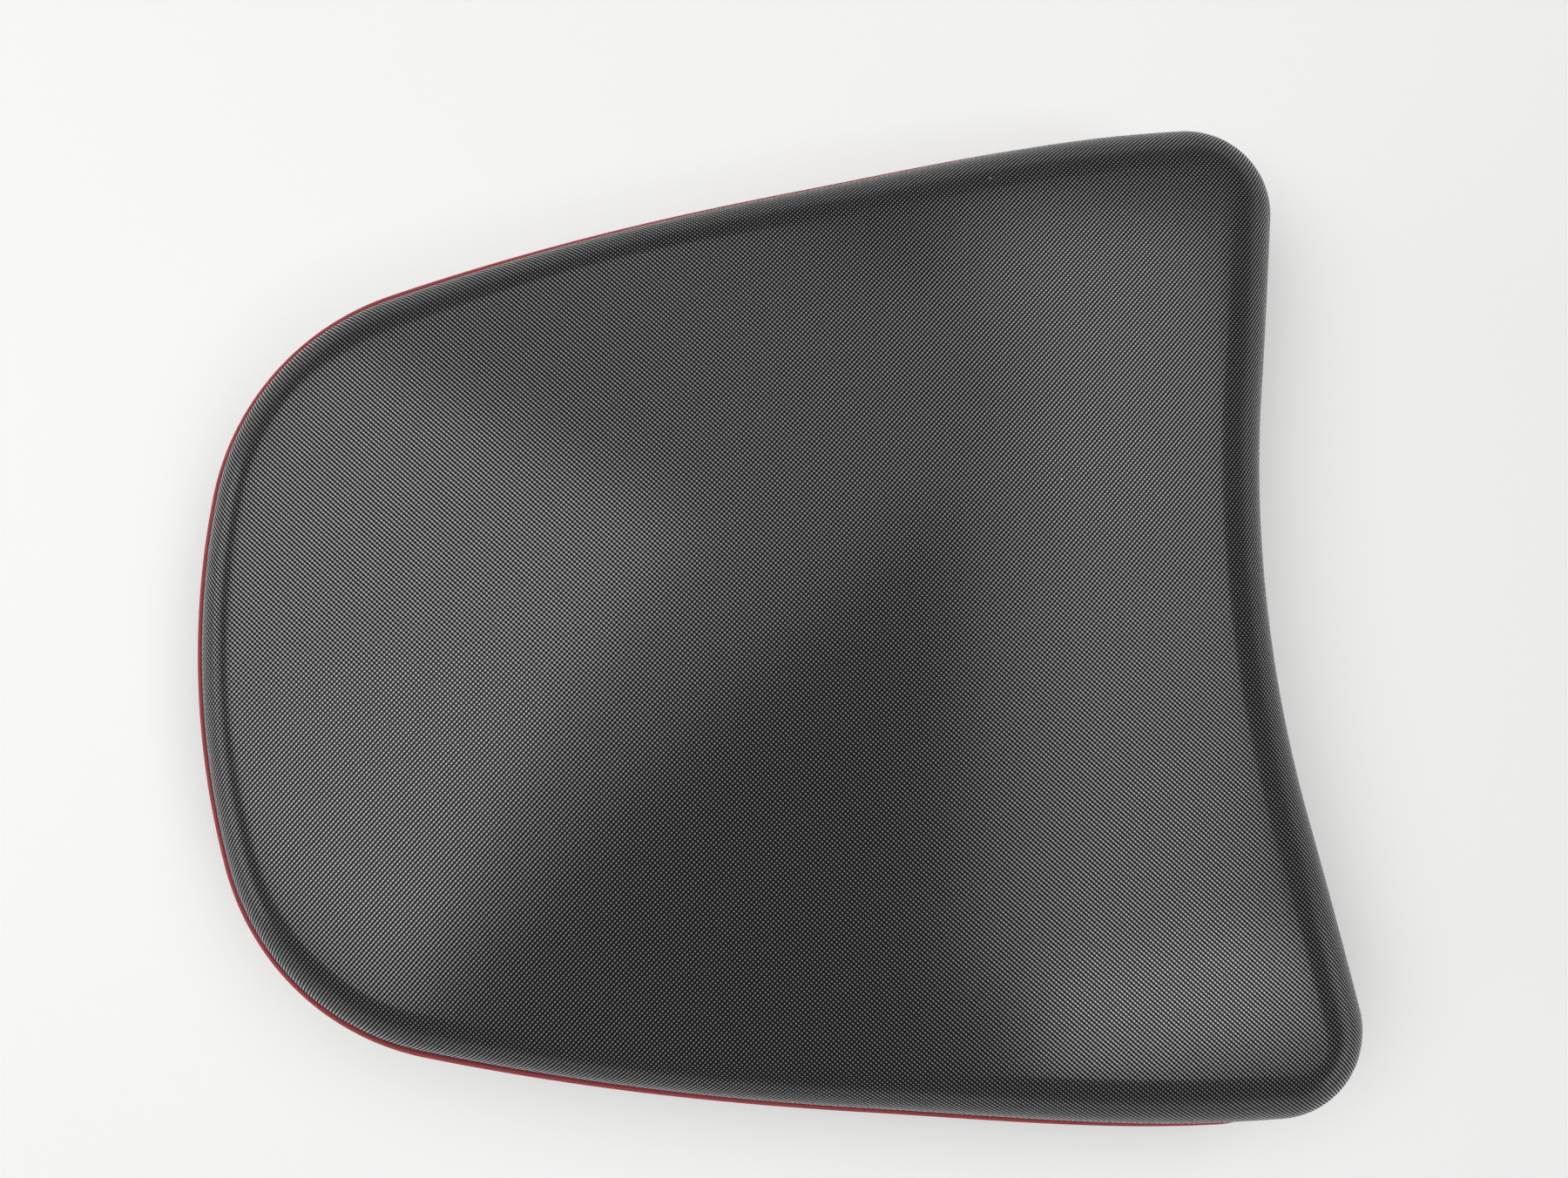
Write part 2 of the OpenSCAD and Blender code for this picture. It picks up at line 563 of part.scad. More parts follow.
module foot_front_right() { foot_at(0, -1); }
module foot_middle_left() { foot_at(1, 1); }
module foot_middle_right() { foot_at(1, -1); }
module foot_tail_left() { foot_at(2, 1); }
module foot_tail_right() { foot_at(2, -1); }

// ---- Latch striker ----

plate_z = seat_z - steel_t; // underside of the steel plates

module rod_along_y(l) { rotate([90, 0, 0]) cylinder(d = striker_d, h = l, center = true); }
// A quarter bend in the YZ plane, from straight down to straight out along +Y
module rod_bend(r) {
    rotate([0, 90, 0]) rotate_extrude(angle = 90) translate([r, 0]) circle(d = striker_d);
}

module latch_striker() {
    bend = striker_bend_r + striker_d / 2;
    half = striker_gap / 2 + striker_d / 2;
    low = striker_clear + striker_d / 2;
    color([0.78, 0.77, 0.7]) translate([striker_x, 0, 0]) {
        translate([0, 0, low]) rod_along_y(2 * (half - bend));
        for (side = [0, 1]) mirror([0, side, 0]) translate([0, half - bend, low + bend]) {
            rod_bend(bend);
            translate([0, bend, 0]) cylinder(d = striker_d, h = plate_z - low - bend);
        }
    }
}

module striker_plate() {
    color([0.7, 0.7, 0.68]) difference() {
        translate([striker_x, 0, plate_z]) linear_extrude(steel_t)
            rounded_plate(striker_plate_l, striker_plate_w, screw_flange_r);
        at_striker_screws() screw_hole();
    }
}
module screw_hole() {
    translate([0, 0, plate_z - cut]) cylinder(d = screw_d + 2 * screw_gap, h = steel_t + 2 * cut);
}
module rounded_plate(l, w, r) {
    square([l - 2 * r, w], center = true);
    square([l, w - 2 * r], center = true);
    for (u = [1, -1], v = [1, -1]) translate([u * (l / 2 - r), v * (w / 2 - r)]) circle(r);
}

// ---- Tail tongue ----

// A quarter of a bend's ring; u and v give its side in X and Z
module plate_bend(u, v) {
    intersection() {
        difference() {
            circle(bend_out);
            circle(bend_in);
        }
        translate([min(0, u * bend_out), min(0, v * bend_out)]) square(bend_out);
    }
}
// Side view, X across and Z up: flat foot, step down, and a blade that points to the tail
module tongue_profile() {
    low = tongue_clear;
    translate([step_x + bend_out, plate_z]) square([tongue_foot_l, steel_t]);
    translate([step_x + bend_out, plate_z - bend_in]) plate_bend(-1, 1);
    translate([step_x, low + bend_out]) square([steel_t, plate_z - bend_in - low - bend_out]);
    translate([step_x - bend_in, low + bend_out]) plate_bend(1, -1);
    translate([tip_x, low]) square([step_x - bend_in - tip_x, steel_t]);
}

module tail_tongue() {
    l = step_x + bend_out + tongue_foot_l - tip_x;
    color([0.7, 0.7, 0.68]) difference() {
        intersection() {
            rotate([90, 0, 0]) linear_extrude(tongue_w, center = true) tongue_profile();
            translate([tip_x + l / 2, 0, 0]) linear_extrude(floor_z)
                rounded_plate(l, tongue_w, screw_flange_r);
        }
        at_tongue_screws() screw_hole();
    }
}

// ---- Fasteners ----

// A flanged hexagon screw under a plate, its thread up in the insert
screw_head_w = 1.6 * screw_d; // across the head's corners
screw_head_h = 0.6 * screw_d;
screw_flange_t = 1.4;
screw_tip = 0.8;              // bevel of the thread's end and of the flange

module screw() {
    translate([0, 0, plate_z - screw_flange_t])
        cylinder(r1 = screw_flange_r - screw_tip, r2 = screw_flange_r, h = screw_flange_t);
    translate([0, 0, plate_z - screw_flange_t - screw_head_h])
        cylinder(d = screw_head_w, h = screw_head_h, $fn = 6);
    translate([0, 0, plate_z]) cylinder(d = screw_d, h = screw_l - screw_tip);
    translate([0, 0, plate_z + screw_l - screw_tip])
        cylinder(d1 = screw_d, d2 = screw_d - 2 * screw_tip, h = screw_tip);
}
// A knurled insert, grooved round its middle, flush with the boss
insert_groove = 0.5; // depth of the groove and of the bevel at the inner end
module insert() {
    bore = screw_d / 2 + thread_gap;
    waist = insert_r - insert_groove;
    translate([0, 0, seat_z]) rotate_extrude() polygon([
        [bore, 0], [insert_r, 0], [insert_r, 0.4 * insert_l], [waist, 0.45 * insert_l],
        [waist, 0.55 * insert_l], [insert_r, 0.6 * insert_l], [insert_r, insert_l - insert_groove],
        [waist, insert_l], [bore, insert_l]]);
}
module striker_screws() { color([0.72, 0.72, 0.7]) at_striker_screws() screw(); }
module striker_inserts() { color([0.8, 0.65, 0.3]) at_striker_screws() insert(); }
module tongue_screws() { color([0.72, 0.72, 0.7]) at_tongue_screws() screw(); }
module tongue_inserts() { color([0.8, 0.65, 0.3]) at_tongue_screws() insert(); }

// Staples stand at even steps along the middle of the ledge, their legs up through the hem
staple_in = pan_in + ledge_w / 2;
function ledge_point(i) = inset(i, staple_in);
function run_to(i) = i <= 0 ? 0 : run_to(i - 1) + norm(ledge_point(i) - ledge_point(i - 1));
ledge_runs = [for (i = [0:half_n]) run_to(i)];
// Places between two steps along the left half: [point, direction]
function staple_places(first, last) =
    let (start = ledge_runs[first], l = ledge_runs[last] - start,
        n = max(1, floor(l / staple_pitch)))
    [for (k = [0:n - 1]) let (s = start + l * (k + 0.5) / n,
        i = len([for (r = ledge_runs) if (r <= s) r]) - 1,
        p = ledge_point(i), q = ledge_point(i + 1),
        f = (s - ledge_runs[i]) / (ledge_runs[i + 1] - ledge_runs[i]))
        [mix(p, q, f), turn_of(q - p)]];
module staple() {
    wire_w = 2 * staple_t;
    translate([-staple_w / 2, -wire_w / 2, hem_z - staple_t]) cube([staple_w, wire_w, staple_t]);
    for (side = [0, 1]) mirror([side, 0, 0])
        translate([staple_w / 2 - staple_t, -wire_w / 2, hem_z - staple_t])
            cube([staple_t, wire_w, staple_t + staple_leg]);
}
module staple_row(first, last, sides) {
    color([0.75, 0.75, 0.76]) for (side = sides, p = staple_places(first, last))
        mirror([0, side, 0]) translate(p[0]) rotate([0, 0, p[1]]) staple();
}
tail_end = side_steps[0] + side_steps[1];
module staples_tail() { staple_row(0, tail_end, [0, 1]); }
module staples_left() { staple_row(tail_end, welt_end, [0]); }
module staples_right() { staple_row(tail_end, welt_end, [1]); }
module staples_front() { staple_row(welt_end + 2, half_n, [0, 1]); }

cover_top_panel();
cover_side_band();
seam_piping();
piping_cord();
foam_cushion();
base_pan();
foot_front_left();
foot_front_right();
foot_middle_left();
foot_middle_right();
foot_tail_left();
foot_tail_right();
latch_striker();
striker_plate();
striker_screws();
striker_inserts();
tail_tongue();
tongue_screws();
tongue_inserts();
staples_left();
staples_right();
staples_front();
staples_tail();
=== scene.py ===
import math

import bpy
import numpy as np
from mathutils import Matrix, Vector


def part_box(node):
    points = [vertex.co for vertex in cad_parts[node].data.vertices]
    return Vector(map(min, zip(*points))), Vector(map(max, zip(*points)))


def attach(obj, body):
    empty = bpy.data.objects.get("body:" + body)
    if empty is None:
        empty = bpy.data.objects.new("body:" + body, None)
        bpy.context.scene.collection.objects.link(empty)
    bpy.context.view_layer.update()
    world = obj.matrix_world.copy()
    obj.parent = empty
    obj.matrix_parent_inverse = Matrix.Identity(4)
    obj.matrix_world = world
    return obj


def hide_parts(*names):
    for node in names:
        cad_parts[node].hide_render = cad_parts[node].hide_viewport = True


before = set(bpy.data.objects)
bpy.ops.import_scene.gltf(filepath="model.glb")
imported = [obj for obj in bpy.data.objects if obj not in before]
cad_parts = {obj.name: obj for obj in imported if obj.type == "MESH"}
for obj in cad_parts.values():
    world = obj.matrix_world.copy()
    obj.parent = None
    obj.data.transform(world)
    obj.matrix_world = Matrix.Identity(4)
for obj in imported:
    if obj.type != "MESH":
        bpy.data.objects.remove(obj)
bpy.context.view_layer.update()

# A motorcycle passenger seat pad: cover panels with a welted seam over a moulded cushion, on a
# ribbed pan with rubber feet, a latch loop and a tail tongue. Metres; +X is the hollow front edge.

BODY = "root"

# ---------------------------------------------------------------- camera

PIXELS_WIDE = 1800
FOCAL_PIXELS = 1352
SENSOR = 36.0
CAMERA_PLACE = (-0.0117, -0.0151, 0.3920)
CAMERA_TURN = (5.12, -2.37, -4.22)  # degrees about X, Y and Z


def make_camera():
    data = bpy.data.cameras.new("camera")
    data.sensor_width = SENSOR
    data.lens = SENSOR * FOCAL_PIXELS / PIXELS_WIDE
    data.clip_start = 0.01
    camera = bpy.data.objects.new("camera", data)
    camera.location = CAMERA_PLACE
    camera.rotation_euler = [math.radians(turn) for turn in CAMERA_TURN]
    bpy.context.scene.collection.objects.link(camera)
    bpy.context.scene.camera = camera


make_camera()

# ---------------------------------------------------------------- driving sizes, as in the solids

seat_length, seat_width = 0.330, 0.300
tail_radius, tail_corner_radius, side_radius = 0.250, 0.076, 1.070
ear_turn, ear_radius = math.radians(2.7), 0.0265
front_radius, front_hollow = 0.315, 0.018

seat_height = 0.068
side_fall, tail_fall, front_fall = 0.009, 0.008, 0.005
roll_tail, roll_front = 0.014, 0.018
draw_in = 0.008

cover_thick = 0.001
welt_radius, welt_cloth = 0.0022, 0.0005
welt_out_tail, welt_out_front = 0.0004, 0.0013
seam_lap, seam_room = 0.004, 0.006
seam_fall_tail, seam_fall_front = 0.0005, 0.0032
dive_before, dive_after = 0.015, 0.042
hem_width = 0.011
pan_edge_z = 0.008
pan_wall_z = pan_edge_z + 0.012
floor_top_z = pan_edge_z + 0.020
ledge_width = 0.012
sew_gap, soft_gap, slack_gap = 0.0001, 0.0003, 0.0007
hem_z = pan_edge_z - cover_thick

# Where a change along the seat starts and how long it takes: -1 is the tail and 1 the ears
roll_start, roll_length = -0.35, 1.2
fall_start, fall_length = -1.0, 1.1
spread_start, spread_length = -1.0, 1.6
sink_start, sink_length = 0.10, 0.65
slack_start, slack_length = 0.27, 0.33

# Steps of the tail, corner, side, ear, straight and hollow stretches of the outline
STRETCH_STEPS = (4, 5, 6, 7, 3, 3)
TAIL_END = sum(STRETCH_STEPS[:2])
EAR_START = sum(STRETCH_STEPS[:3])
WELT_END = EAR_START + 3
BAND_END = WELT_END + 0.5

# ---------------------------------------------------------------- outline from above


def unit(angle):
    return np.stack([np.cos(angle), np.sin(angle)], axis=-1)


def smooth(value):
    c = np.clip(value, 0.0, 1.0)
    return c * c * (3 - 2 * c)


def mix(a, b, share):
    return a + (b - a) * share


def turn_of(v):
    return math.atan2(v[1], v[0])


def running_length(points):
    """Length along a line of points at each of them."""
    gaps = np.linalg.norm(np.diff(points, axis=0), axis=1)
    return np.concatenate([[0.0], np.cumsum(gaps)])


def tail_side_crossing(c0, r0, c1, r1):
    """The crossing of two circles that lies nearer the tail."""
    v = c1 - c0
    s = np.linalg.norm(v)
    a = (r0 * r0 - r1 * r1 + s * s) / (2 * s)
    u = v / s
    h = math.sqrt(max(0.0, r0 * r0 - a * a))
    across = np.array([-u[1], u[0]])
    return min((c0 + a * u + h * across, c0 + a * u - h * across), key=lambda p: p[0])


class Outline:
    """Points, outward normals and step numbers round the seat, from the tail by the left side."""

    def __init__(self, fine):
        ear = np.array([seat_length / 2 - ear_radius, seat_width / 2 - ear_radius])
        lean = np.array([math.sin(ear_turn), -math.cos(ear_turn)])
        side = ear + (side_radius - ear_radius) * lean
        tail = np.array([tail_radius - seat_length / 2, 0.0])
        corner = tail_side_crossing(
            tail, tail_radius - tail_corner_radius, side, side_radius - tail_corner_radius
        )
        front = np.array([seat_length / 2 - front_hollow + front_radius, 0.0])
        reach = np.linalg.norm(front - ear)
        front_turn = math.atan2(ear[1], front[0] - ear[0]) - math.acos(
            (ear_radius + front_radius) / reach
        )
        # Each stretch runs from one circle to another, which is the same one for an arc
        circles = ((tail, tail_radius), (corner, tail_corner_radius), (side, side_radius),
                   (ear, ear_radius), (front, -front_radius))
        starts, ends = (0, 1, 2, 3, 3, 4), (0, 1, 2, 3, 4, 4)
        turns = (math.pi, turn_of(corner - tail), turn_of(corner - side), math.pi / 2 + ear_turn,
                 -front_turn, -front_turn, 0.0)
        points, normals, steps = [], [], []
        for k, count in enumerate(STRETCH_STEPS):
            closing = int(k == len(STRETCH_STEPS) - 1)
            share = np.arange(count * fine + closing) / (count * fine)
            u = unit(mix(turns[k], turns[k + 1], share))
            (c0, r0), (c1, r1) = circles[starts[k]], circles[ends[k]]
            points.append(mix(c0 + r0 * u, c1 + r1 * u, share[:, None]))
            normals.append(u)
            steps.append(sum(STRETCH_STEPS[:k]) + share * count)
        half_p, half_n, half_s = (np.concatenate(x) for x in (points, normals, steps))
        flip = np.array([1.0, -1.0])
        self.p = np.concatenate([half_p, half_p[-2:0:-1] * flip])
        self.n = np.concatenate([half_n, half_n[-2:0:-1] * flip])
        self.step = np.concatenate([half_s, half_s[-2:0:-1]])
        self.half = len(half_p) - 1
        self.fine = fine
        lengths = running_length(np.concatenate([self.p, self.p[:1]]))
        self.run, self.girth = lengths[:-1], lengths[-1]
        self.set_form()

    def set_form(self):
        """Heights and insets of the cover's form at each point."""
        x, y = self.p[:, 0], self.p[:, 1]
        self.along = x / (seat_length / 2)
        self.roll = mix(roll_tail, roll_front, self.change(roll_start, roll_length))
        welt_out = mix(welt_out_tail, welt_out_front, self.change(spread_start, spread_length))
        self.proud = (welt_radius + welt_out) * (1 - self.change(sink_start, sink_length))
        self.widest = top_height(x, y) - self.roll
        fall = seam_fall_tail + seam_fall_front * self.change(fall_start, fall_length)
        ear_run = self.run[EAR_START * self.fine]
        run = np.minimum(self.run, self.girth - self.run)
        dive = smooth((run - ear_run + dive_before) / (dive_before + dive_after))
        self.seam = mix(self.widest - fall, pan_edge_z, dive)
        room = np.clip((self.seam - pan_wall_z - seam_room) / seam_room, 0, 1)
        self.lap = np.where(self.step <= BAND_END, seam_lap * room, 0.0) + sew_gap
        self.welt_off = mix(welt_out, welt_radius - cover_thick + sew_gap, 1 - self.lap / seam_lap)
        # Half height of the bead where it meets the face of the panel above it and below it
        middle = self.skin(self.seam)
        above = self.welt_off - middle + self.skin(self.seam + welt_radius)
        self.bead_up, self.bead_down = (
            np.sqrt(welt_radius**2 - np.clip(off, 0, welt_radius) ** 2)
            for off in (above, self.welt_off)
        )

    def change(self, start, length):
        """Share of a change that takes place along the seat, from 0 before it to 1 after it."""
        return smooth((self.along - start) / length)

    def inset(self, depth):
        """The outline moved in by a depth, which may differ from point to point."""
        return self.p - np.asarray(depth)[..., None] * self.n

    def skin(self, z, inner=0.0):
        """Inset of the surface at height z, for a surface that lies inner inside the cover's face."""
        above = self.roll - np.sqrt(np.maximum(0, (self.roll - inner) ** 2 - (z - self.widest) ** 2))
        share = np.clip((self.widest - z) / (self.widest - pan_wall_z), 0, 1)
        below = mix(self.proud, draw_in, share**1.5) + inner
        return np.where(z >= self.widest, self.proud + above, below)

    def ring(self, depth, z):
        z = np.broadcast_to(z, self.step.shape)
        return np.column_stack([self.inset(np.broadcast_to(depth, self.step.shape)), z])


def top_height(x, y):
    """Height of the crown above the plane of the feet."""
    tail = np.clip(-2 * x / seat_length, 0, 1)
    front = np.clip(2 * x / seat_length, 0, 1)
    return (
        seat_height
        - side_fall * (2 * y / seat_width) ** 2
        - tail_fall * tail**3
        - front_fall * front**3
    )


edge = Outline(fine=6)

# ---------------------------------------------------------------- mesh building


def link(name, mesh):
    piece = bpy.data.objects.new(name, mesh)
    bpy.context.scene.collection.objects.link(piece)
    return piece


def build_mesh(name, vertices, faces, loop_uvs=None):
    """A smooth-shaded mesh; loop_uvs follow the faces' corners, in metres of cloth."""
    mesh = bpy.data.meshes.new(name)
    mesh.from_pydata([tuple(v) for v in vertices], [], faces)
    if loop_uvs is not None:
        layer = mesh.uv_layers.new(name="cloth_metres")
        layer.data.foreach_set("uv", np.asarray(loop_uvs, np.float32).ravel())
    mesh.validate()
    mesh.shade_smooth()
    return link(name, mesh)


def section_shell(name, sections, runs):
    """A closed tube through sections of equal length; runs is the cloth's run at each section."""
    count, size = sections.shape[:2]
    girths = [running_length(np.concatenate([section, section[:1]])) for section in sections]
    faces, loops = [], []
    for k in range(count - 1):
        for j in range(size):
            corners = ((k, j), (k + 1, j), (k + 1, j + 1), (k, j + 1))
            faces.append(tuple(row * size + place % size for row, place in corners))
            loops.extend((runs[row], girths[row][place]) for row, place in corners)
    for base, order in ((0, range(size)), ((count - 1) * size, range(size - 1, -1, -1))):
        faces.append(tuple(base + j for j in order))
        loops.extend((0.0, 0.0) for _ in order)
    return build_mesh(name, sections.reshape(-1, 3), faces, loops)


def two_tip_shell(name, rings, tip_heights, places=None):
    """A closed shell from ring to ring. The first ring and the last close at a tip each, on the
    seat's middle; places are the rings' cloth places."""
    n, rows = len(rings[0]), len(rings)
    vertices = np.concatenate([*rings, [(0.0, 0.0, z) for z in tip_heights]])
    tip, base = rows * n, (rows - 1) * n
    pairs = [(i, (i + 1) % n) for i in range(n)]
    faces = []
    for k in range(rows - 1):
        faces.extend((k * n + i, k * n + j, (k + 1) * n + j, (k + 1) * n + i) for i, j in pairs)
    for i, j in pairs:
        faces += [(tip, j, i), (tip + 1, base + i, base + j)]
    if places is None:
        return build_mesh(name, vertices, faces)
    cloth = np.concatenate([*places, np.zeros((2, 2))])
    return build_mesh(name, vertices, faces, [cloth[v] for face in faces for v in face])


# ---------------------------------------------------------------- cover, top panel

DOME_SHARES = np.linspace(0.04, 0.97, 24)
ROLL_STEPS = 16
TUCK_STEPS = 5
HEM_TURN = 0.002  # radius with which the cover turns under the pan's edge
SEAM_TURN, SEAM_BACK, SEAM_DROP = 0.0012, 0.0008, 0.0006  # the same beside the welt
CORNER_ROOM = 0.0004
LEAST = 0.0003  # the least width of a strip of cloth
UNDER_START, UNDER_END = BAND_END + 0.1, BAND_END + 0.35  # the panel's hem goes under the pan here
PLEAT_PITCH, PLEAT_DROP = 0.0085, 0.0011
GATHERS = ((3, 10), (16, 23.5))  # steps between which the hem is gathered, at tail and ear


def panel_rings(o, inner, shares=DOME_SHARES, roll_steps=ROLL_STEPS):
    """Rings of a skin that lies inner inside the cover's outer face, from the crown to the end
    of the rolled edge, with their cloth places."""
    roll_centre = o.inset(o.proud + o.roll)
    rings, places = [], []
    for share in shares:
        flat = share * roll_centre
        rings.append(np.column_stack([flat, top_height(flat[:, 0], flat[:, 1]) - inner]))
        places.append(flat)
    crest = top_height(roll_centre[:, 0], roll_centre[:, 1]) - o.roll
    for k in range(roll_steps + 1):
        share = k / roll_steps
        angle = share * math.pi / 2
        depth = o.proud + o.roll - (o.roll - inner) * math.sin(angle)
        z = mix(crest, o.widest, share) + (o.roll - inner) * math.cos(angle)
        rings.append(o.ring(depth, z))
        places.append(roll_centre + o.n * (o.roll * angle)[:, None])
    return rings, places


def fall_rings(o, inner, start, end, count, place=0.0):
    """Rings down the side between two heights, and their cloth places."""
    rings, places = [], []
    for k in range(1, count + 1):
        z = mix(start, end, k / count)
        rings.append(o.ring(o.skin(z, inner), z))
        places.append(place + o.n * (start - z)[:, None])
    return rings, places


def pleat(o, depth):
    """Drop of the hem's folds where it is gathered round the tail corners and the ears."""
    gather = np.maximum(
        *(smooth((o.step - start) / 2) * smooth((end - o.step) / 2) for start, end in GATHERS)
    )
    fold = np.maximum(0, np.sin(2 * math.pi * o.run / PLEAT_PITCH)) ** 2
    return PLEAT_DROP * gather * fold * smooth(depth / hem_width * 1.4)


def make_top_panel():
    o = edge
    under = smooth((o.step - UNDER_START) / (UNDER_END - UNDER_START))
    welted = 1 - smooth((o.step - WELT_END) / 0.5)
    seam_edge = o.seam + o.bead_up + 2 * sew_gap
    low = mix(hem_z + HEM_TURN, seam_edge + SEAM_BACK, welted)
    rings, places = panel_rings(o, 0.0)
    down, down_places = fall_rings(o, 0.0, o.widest, low, 10, places[-1])
    rings += down
    places += down_places
    # The edge turns in: round the welt where there is one, and round the pan's edge elsewhere
    end_z = mix(hem_z, seam_edge - SEAM_DROP, welted)
    turn_in = mix(HEM_TURN, SEAM_TURN, welted)
    face = o.skin(low)
    for k in range(1, TUCK_STEPS + 1):
        angle = k / TUCK_STEPS * math.pi / 2
        depth = face + turn_in * (1 - math.cos(angle))
        rings.append(o.ring(depth, mix(low, end_z, math.sin(angle))))
        places.append(places[-1] + o.n * (turn_in * math.pi / 2 / TUCK_STEPS)[:, None])
    reach = np.maximum(mix(hem_width * under, o.lap - LEAST, welted), LEAST)
    lip_z = mix(end_z, o.seam + welt_cloth + sew_gap, welted * np.clip(o.lap / seam_lap, 0, 1))
    for share in (0.33, 0.66, 1.0):
        depth = face + turn_in + reach * share
        fold = pleat(o, hem_width * under * share) * (1 - welted)
        rings.append(o.ring(depth, mix(end_z, lip_z, share) - fold))
        places.append(places[-1] + o.n * (reach / 3)[:, None])
    # Back along the inner face
    rings.append(o.ring(depth, lip_z + cover_thick - fold))
    rings.append(o.ring(face + turn_in + cover_thick, end_z + cover_thick))
    places += [places[-1], places[-4]]
    inner_low = np.maximum(low, end_z + cover_thick + LEAST)
    inner, inner_places = panel_rings(o, cover_thick)
    down, down_places = fall_rings(o, cover_thick, o.widest, inner_low, 5, inner_places[-1])
    rings += down[::-1] + inner[::-1]
    places += down_places[::-1] + inner_places[::-1]
    return two_tip_shell("cover_top", rings, (seat_height, seat_height - cover_thick), places)


# ---------------------------------------------------------------- cover, side band


def welted_columns(o, last):
    """Indices of the outline's points from the right ear round the tail to the left ear."""
    count = int(round(last * o.fine))
    return np.arange(-count, count + 1)


def make_side_band():
    o = edge
    columns = welted_columns(o, BAND_END)
    top = o.seam - o.bead_down - 2 * sew_gap
    brow = top - SEAM_BACK + SEAM_TURN
    low = np.minimum(hem_z + HEM_TURN, top - SEAM_DROP)
    face_at_top = o.skin(top)
    lap = np.maximum(o.lap - LEAST, LEAST)
    lip_z = mix(brow, o.seam - welt_cloth - sew_gap, np.clip(o.lap / seam_lap, 0, 1))
    rows = []
    # Outer face: from the seam allowance round the top edge, down the side and under the pan
    for share in (1.0, 0.5):
        rows.append((face_at_top + cover_thick + lap * share, mix(brow, lip_z, share)))
    for k in range(TUCK_STEPS + 1):
        angle = (1 - k / TUCK_STEPS) * math.pi / 2
        rows.append((face_at_top + cover_thick * (1 - math.cos(angle)),
                     top - SEAM_BACK + SEAM_TURN * math.sin(angle)))
    for k in range(1, 13):
        z = mix(top - SEAM_BACK, low, k / 12)
        rows.append((o.skin(z), z))
    face = o.skin(low)
    for k in range(1, TUCK_STEPS + 1):
        angle = k / TUCK_STEPS * math.pi / 2
        rows.append((face + HEM_TURN * (1 - math.cos(angle)), mix(low, hem_z, math.sin(angle))))
    for share in (0.25, 0.5, 0.75, 1.0):
        rows.append((face + HEM_TURN + hem_width * share, hem_z - pleat(o, hem_width * share)))
    # Inner face back up to the seam
    rows.append((face + HEM_TURN + hem_width, hem_z + cover_thick - pleat(o, hem_width)))
    rows.append((face + HEM_TURN + CORNER_ROOM, hem_z + cover_thick))
    inner_low = np.minimum(np.maximum(low, hem_z + 2 * cover_thick), top - LEAST)
    for k in range(7):
        z = mix(inner_low, top - SEAM_BACK, k / 6)
        rows.append((o.skin(z, cover_thick), z))
    rows.append((face_at_top + cover_thick + lap, lip_z - cover_thick))
    sections = np.stack([o.ring(depth, z) for depth, z in rows], axis=1)[columns]
    runs = o.run[columns] - np.where(columns < 0, o.girth, 0.0)
    return section_shell("cover_band", sections, runs)


# ---------------------------------------------------------------- welt

WELT_SIDES = 20
BORE_SIDES = 12
FOLD_GAP = 0.00003
BULGE = 0.0002  # the sewn welt is pressed out this far by the seam allowances behind it
TUCK_START, TUCK_LENGTH = WELT_END - 1.2, 1.4  # steps over which an end is drawn into the seam
TUCK_DEPTH, TUCK_SLIM = 0.0046, 0.45
STITCH_PITCH, STITCH_PINCH = 0.0036, 0.018
LEAST_REACH, LAP_SHARE = 0.0002, 0.8  # how far the sleeve's two edges go in behind the cord
fine_edge = Outline(fine=22)


def tucked(o):
    """How far the welt is drawn into the seam, from 0 to 1 at its ends."""
    return smooth((o.step - TUCK_START) / TUCK_LENGTH)


def welt_centre(o, columns):
    """The line along the middle of the welt's cord, at the columns."""
    depth = o.skin(o.seam) - o.welt_off - BULGE + TUCK_DEPTH * tucked(o)
    return o.ring(depth, o.seam)[columns]


def make_welt():
    """The cloth sleeve: a strip folded round the cord, drawn in a little at each hidden stitch,
    with its two edges sewn in between the panels."""
    o = fine_edge
    columns = welted_columns(o, WELT_END + 0.3)
    centre = welt_centre(o, columns)
    out = np.column_stack([o.n, np.zeros(len(o.n))])[columns]
    run = running_length(centre)
    up = np.array([0.0, 0.0, 1.0])
    reach = np.maximum(
        welt_radius + LEAST_REACH,
        o.welt_off[columns] + BULGE + cover_thick + LAP_SHARE * o.lap[columns],
    )
    slim = 1 - TUCK_SLIM * tucked(o)[columns]
    pinch = 1 - STITCH_PINCH * (0.5 + 0.5 * np.cos(2 * math.pi * run / STITCH_PITCH))
    sections = []
    # The outer face from above to below, then the inner face back round the cord
    for radius, half_gap, sides, first, heights in (
        (welt_radius, welt_cloth, WELT_SIDES, 1, (-welt_cloth, -FOLD_GAP)),
        (welt_radius - welt_cloth, FOLD_GAP, BORE_SIDES, -1, (FOLD_GAP, welt_cloth)),
    ):
        root = math.asin(half_gap / radius)
        for share in np.arange(sides + 1) / sides:
            angle = first * mix(math.pi - root, root - math.pi, share)
            girth = radius * slim
            if first > 0:
                girth = girth * mix(1.0, pinch, (1 - math.cos(angle)) / 2)
            sections.append(centre + out * np.reshape(girth * math.cos(angle), (-1, 1))
                            + up * np.reshape(girth * math.sin(angle), (-1, 1)))
        for height in heights:
            sections.append(centre - out * reach[:, None] + up * height)
    return section_shell("welt", np.stack(sections, axis=1), run)


# ---------------------------------------------------------------- foam

GROOVE_LIP = 0.0007


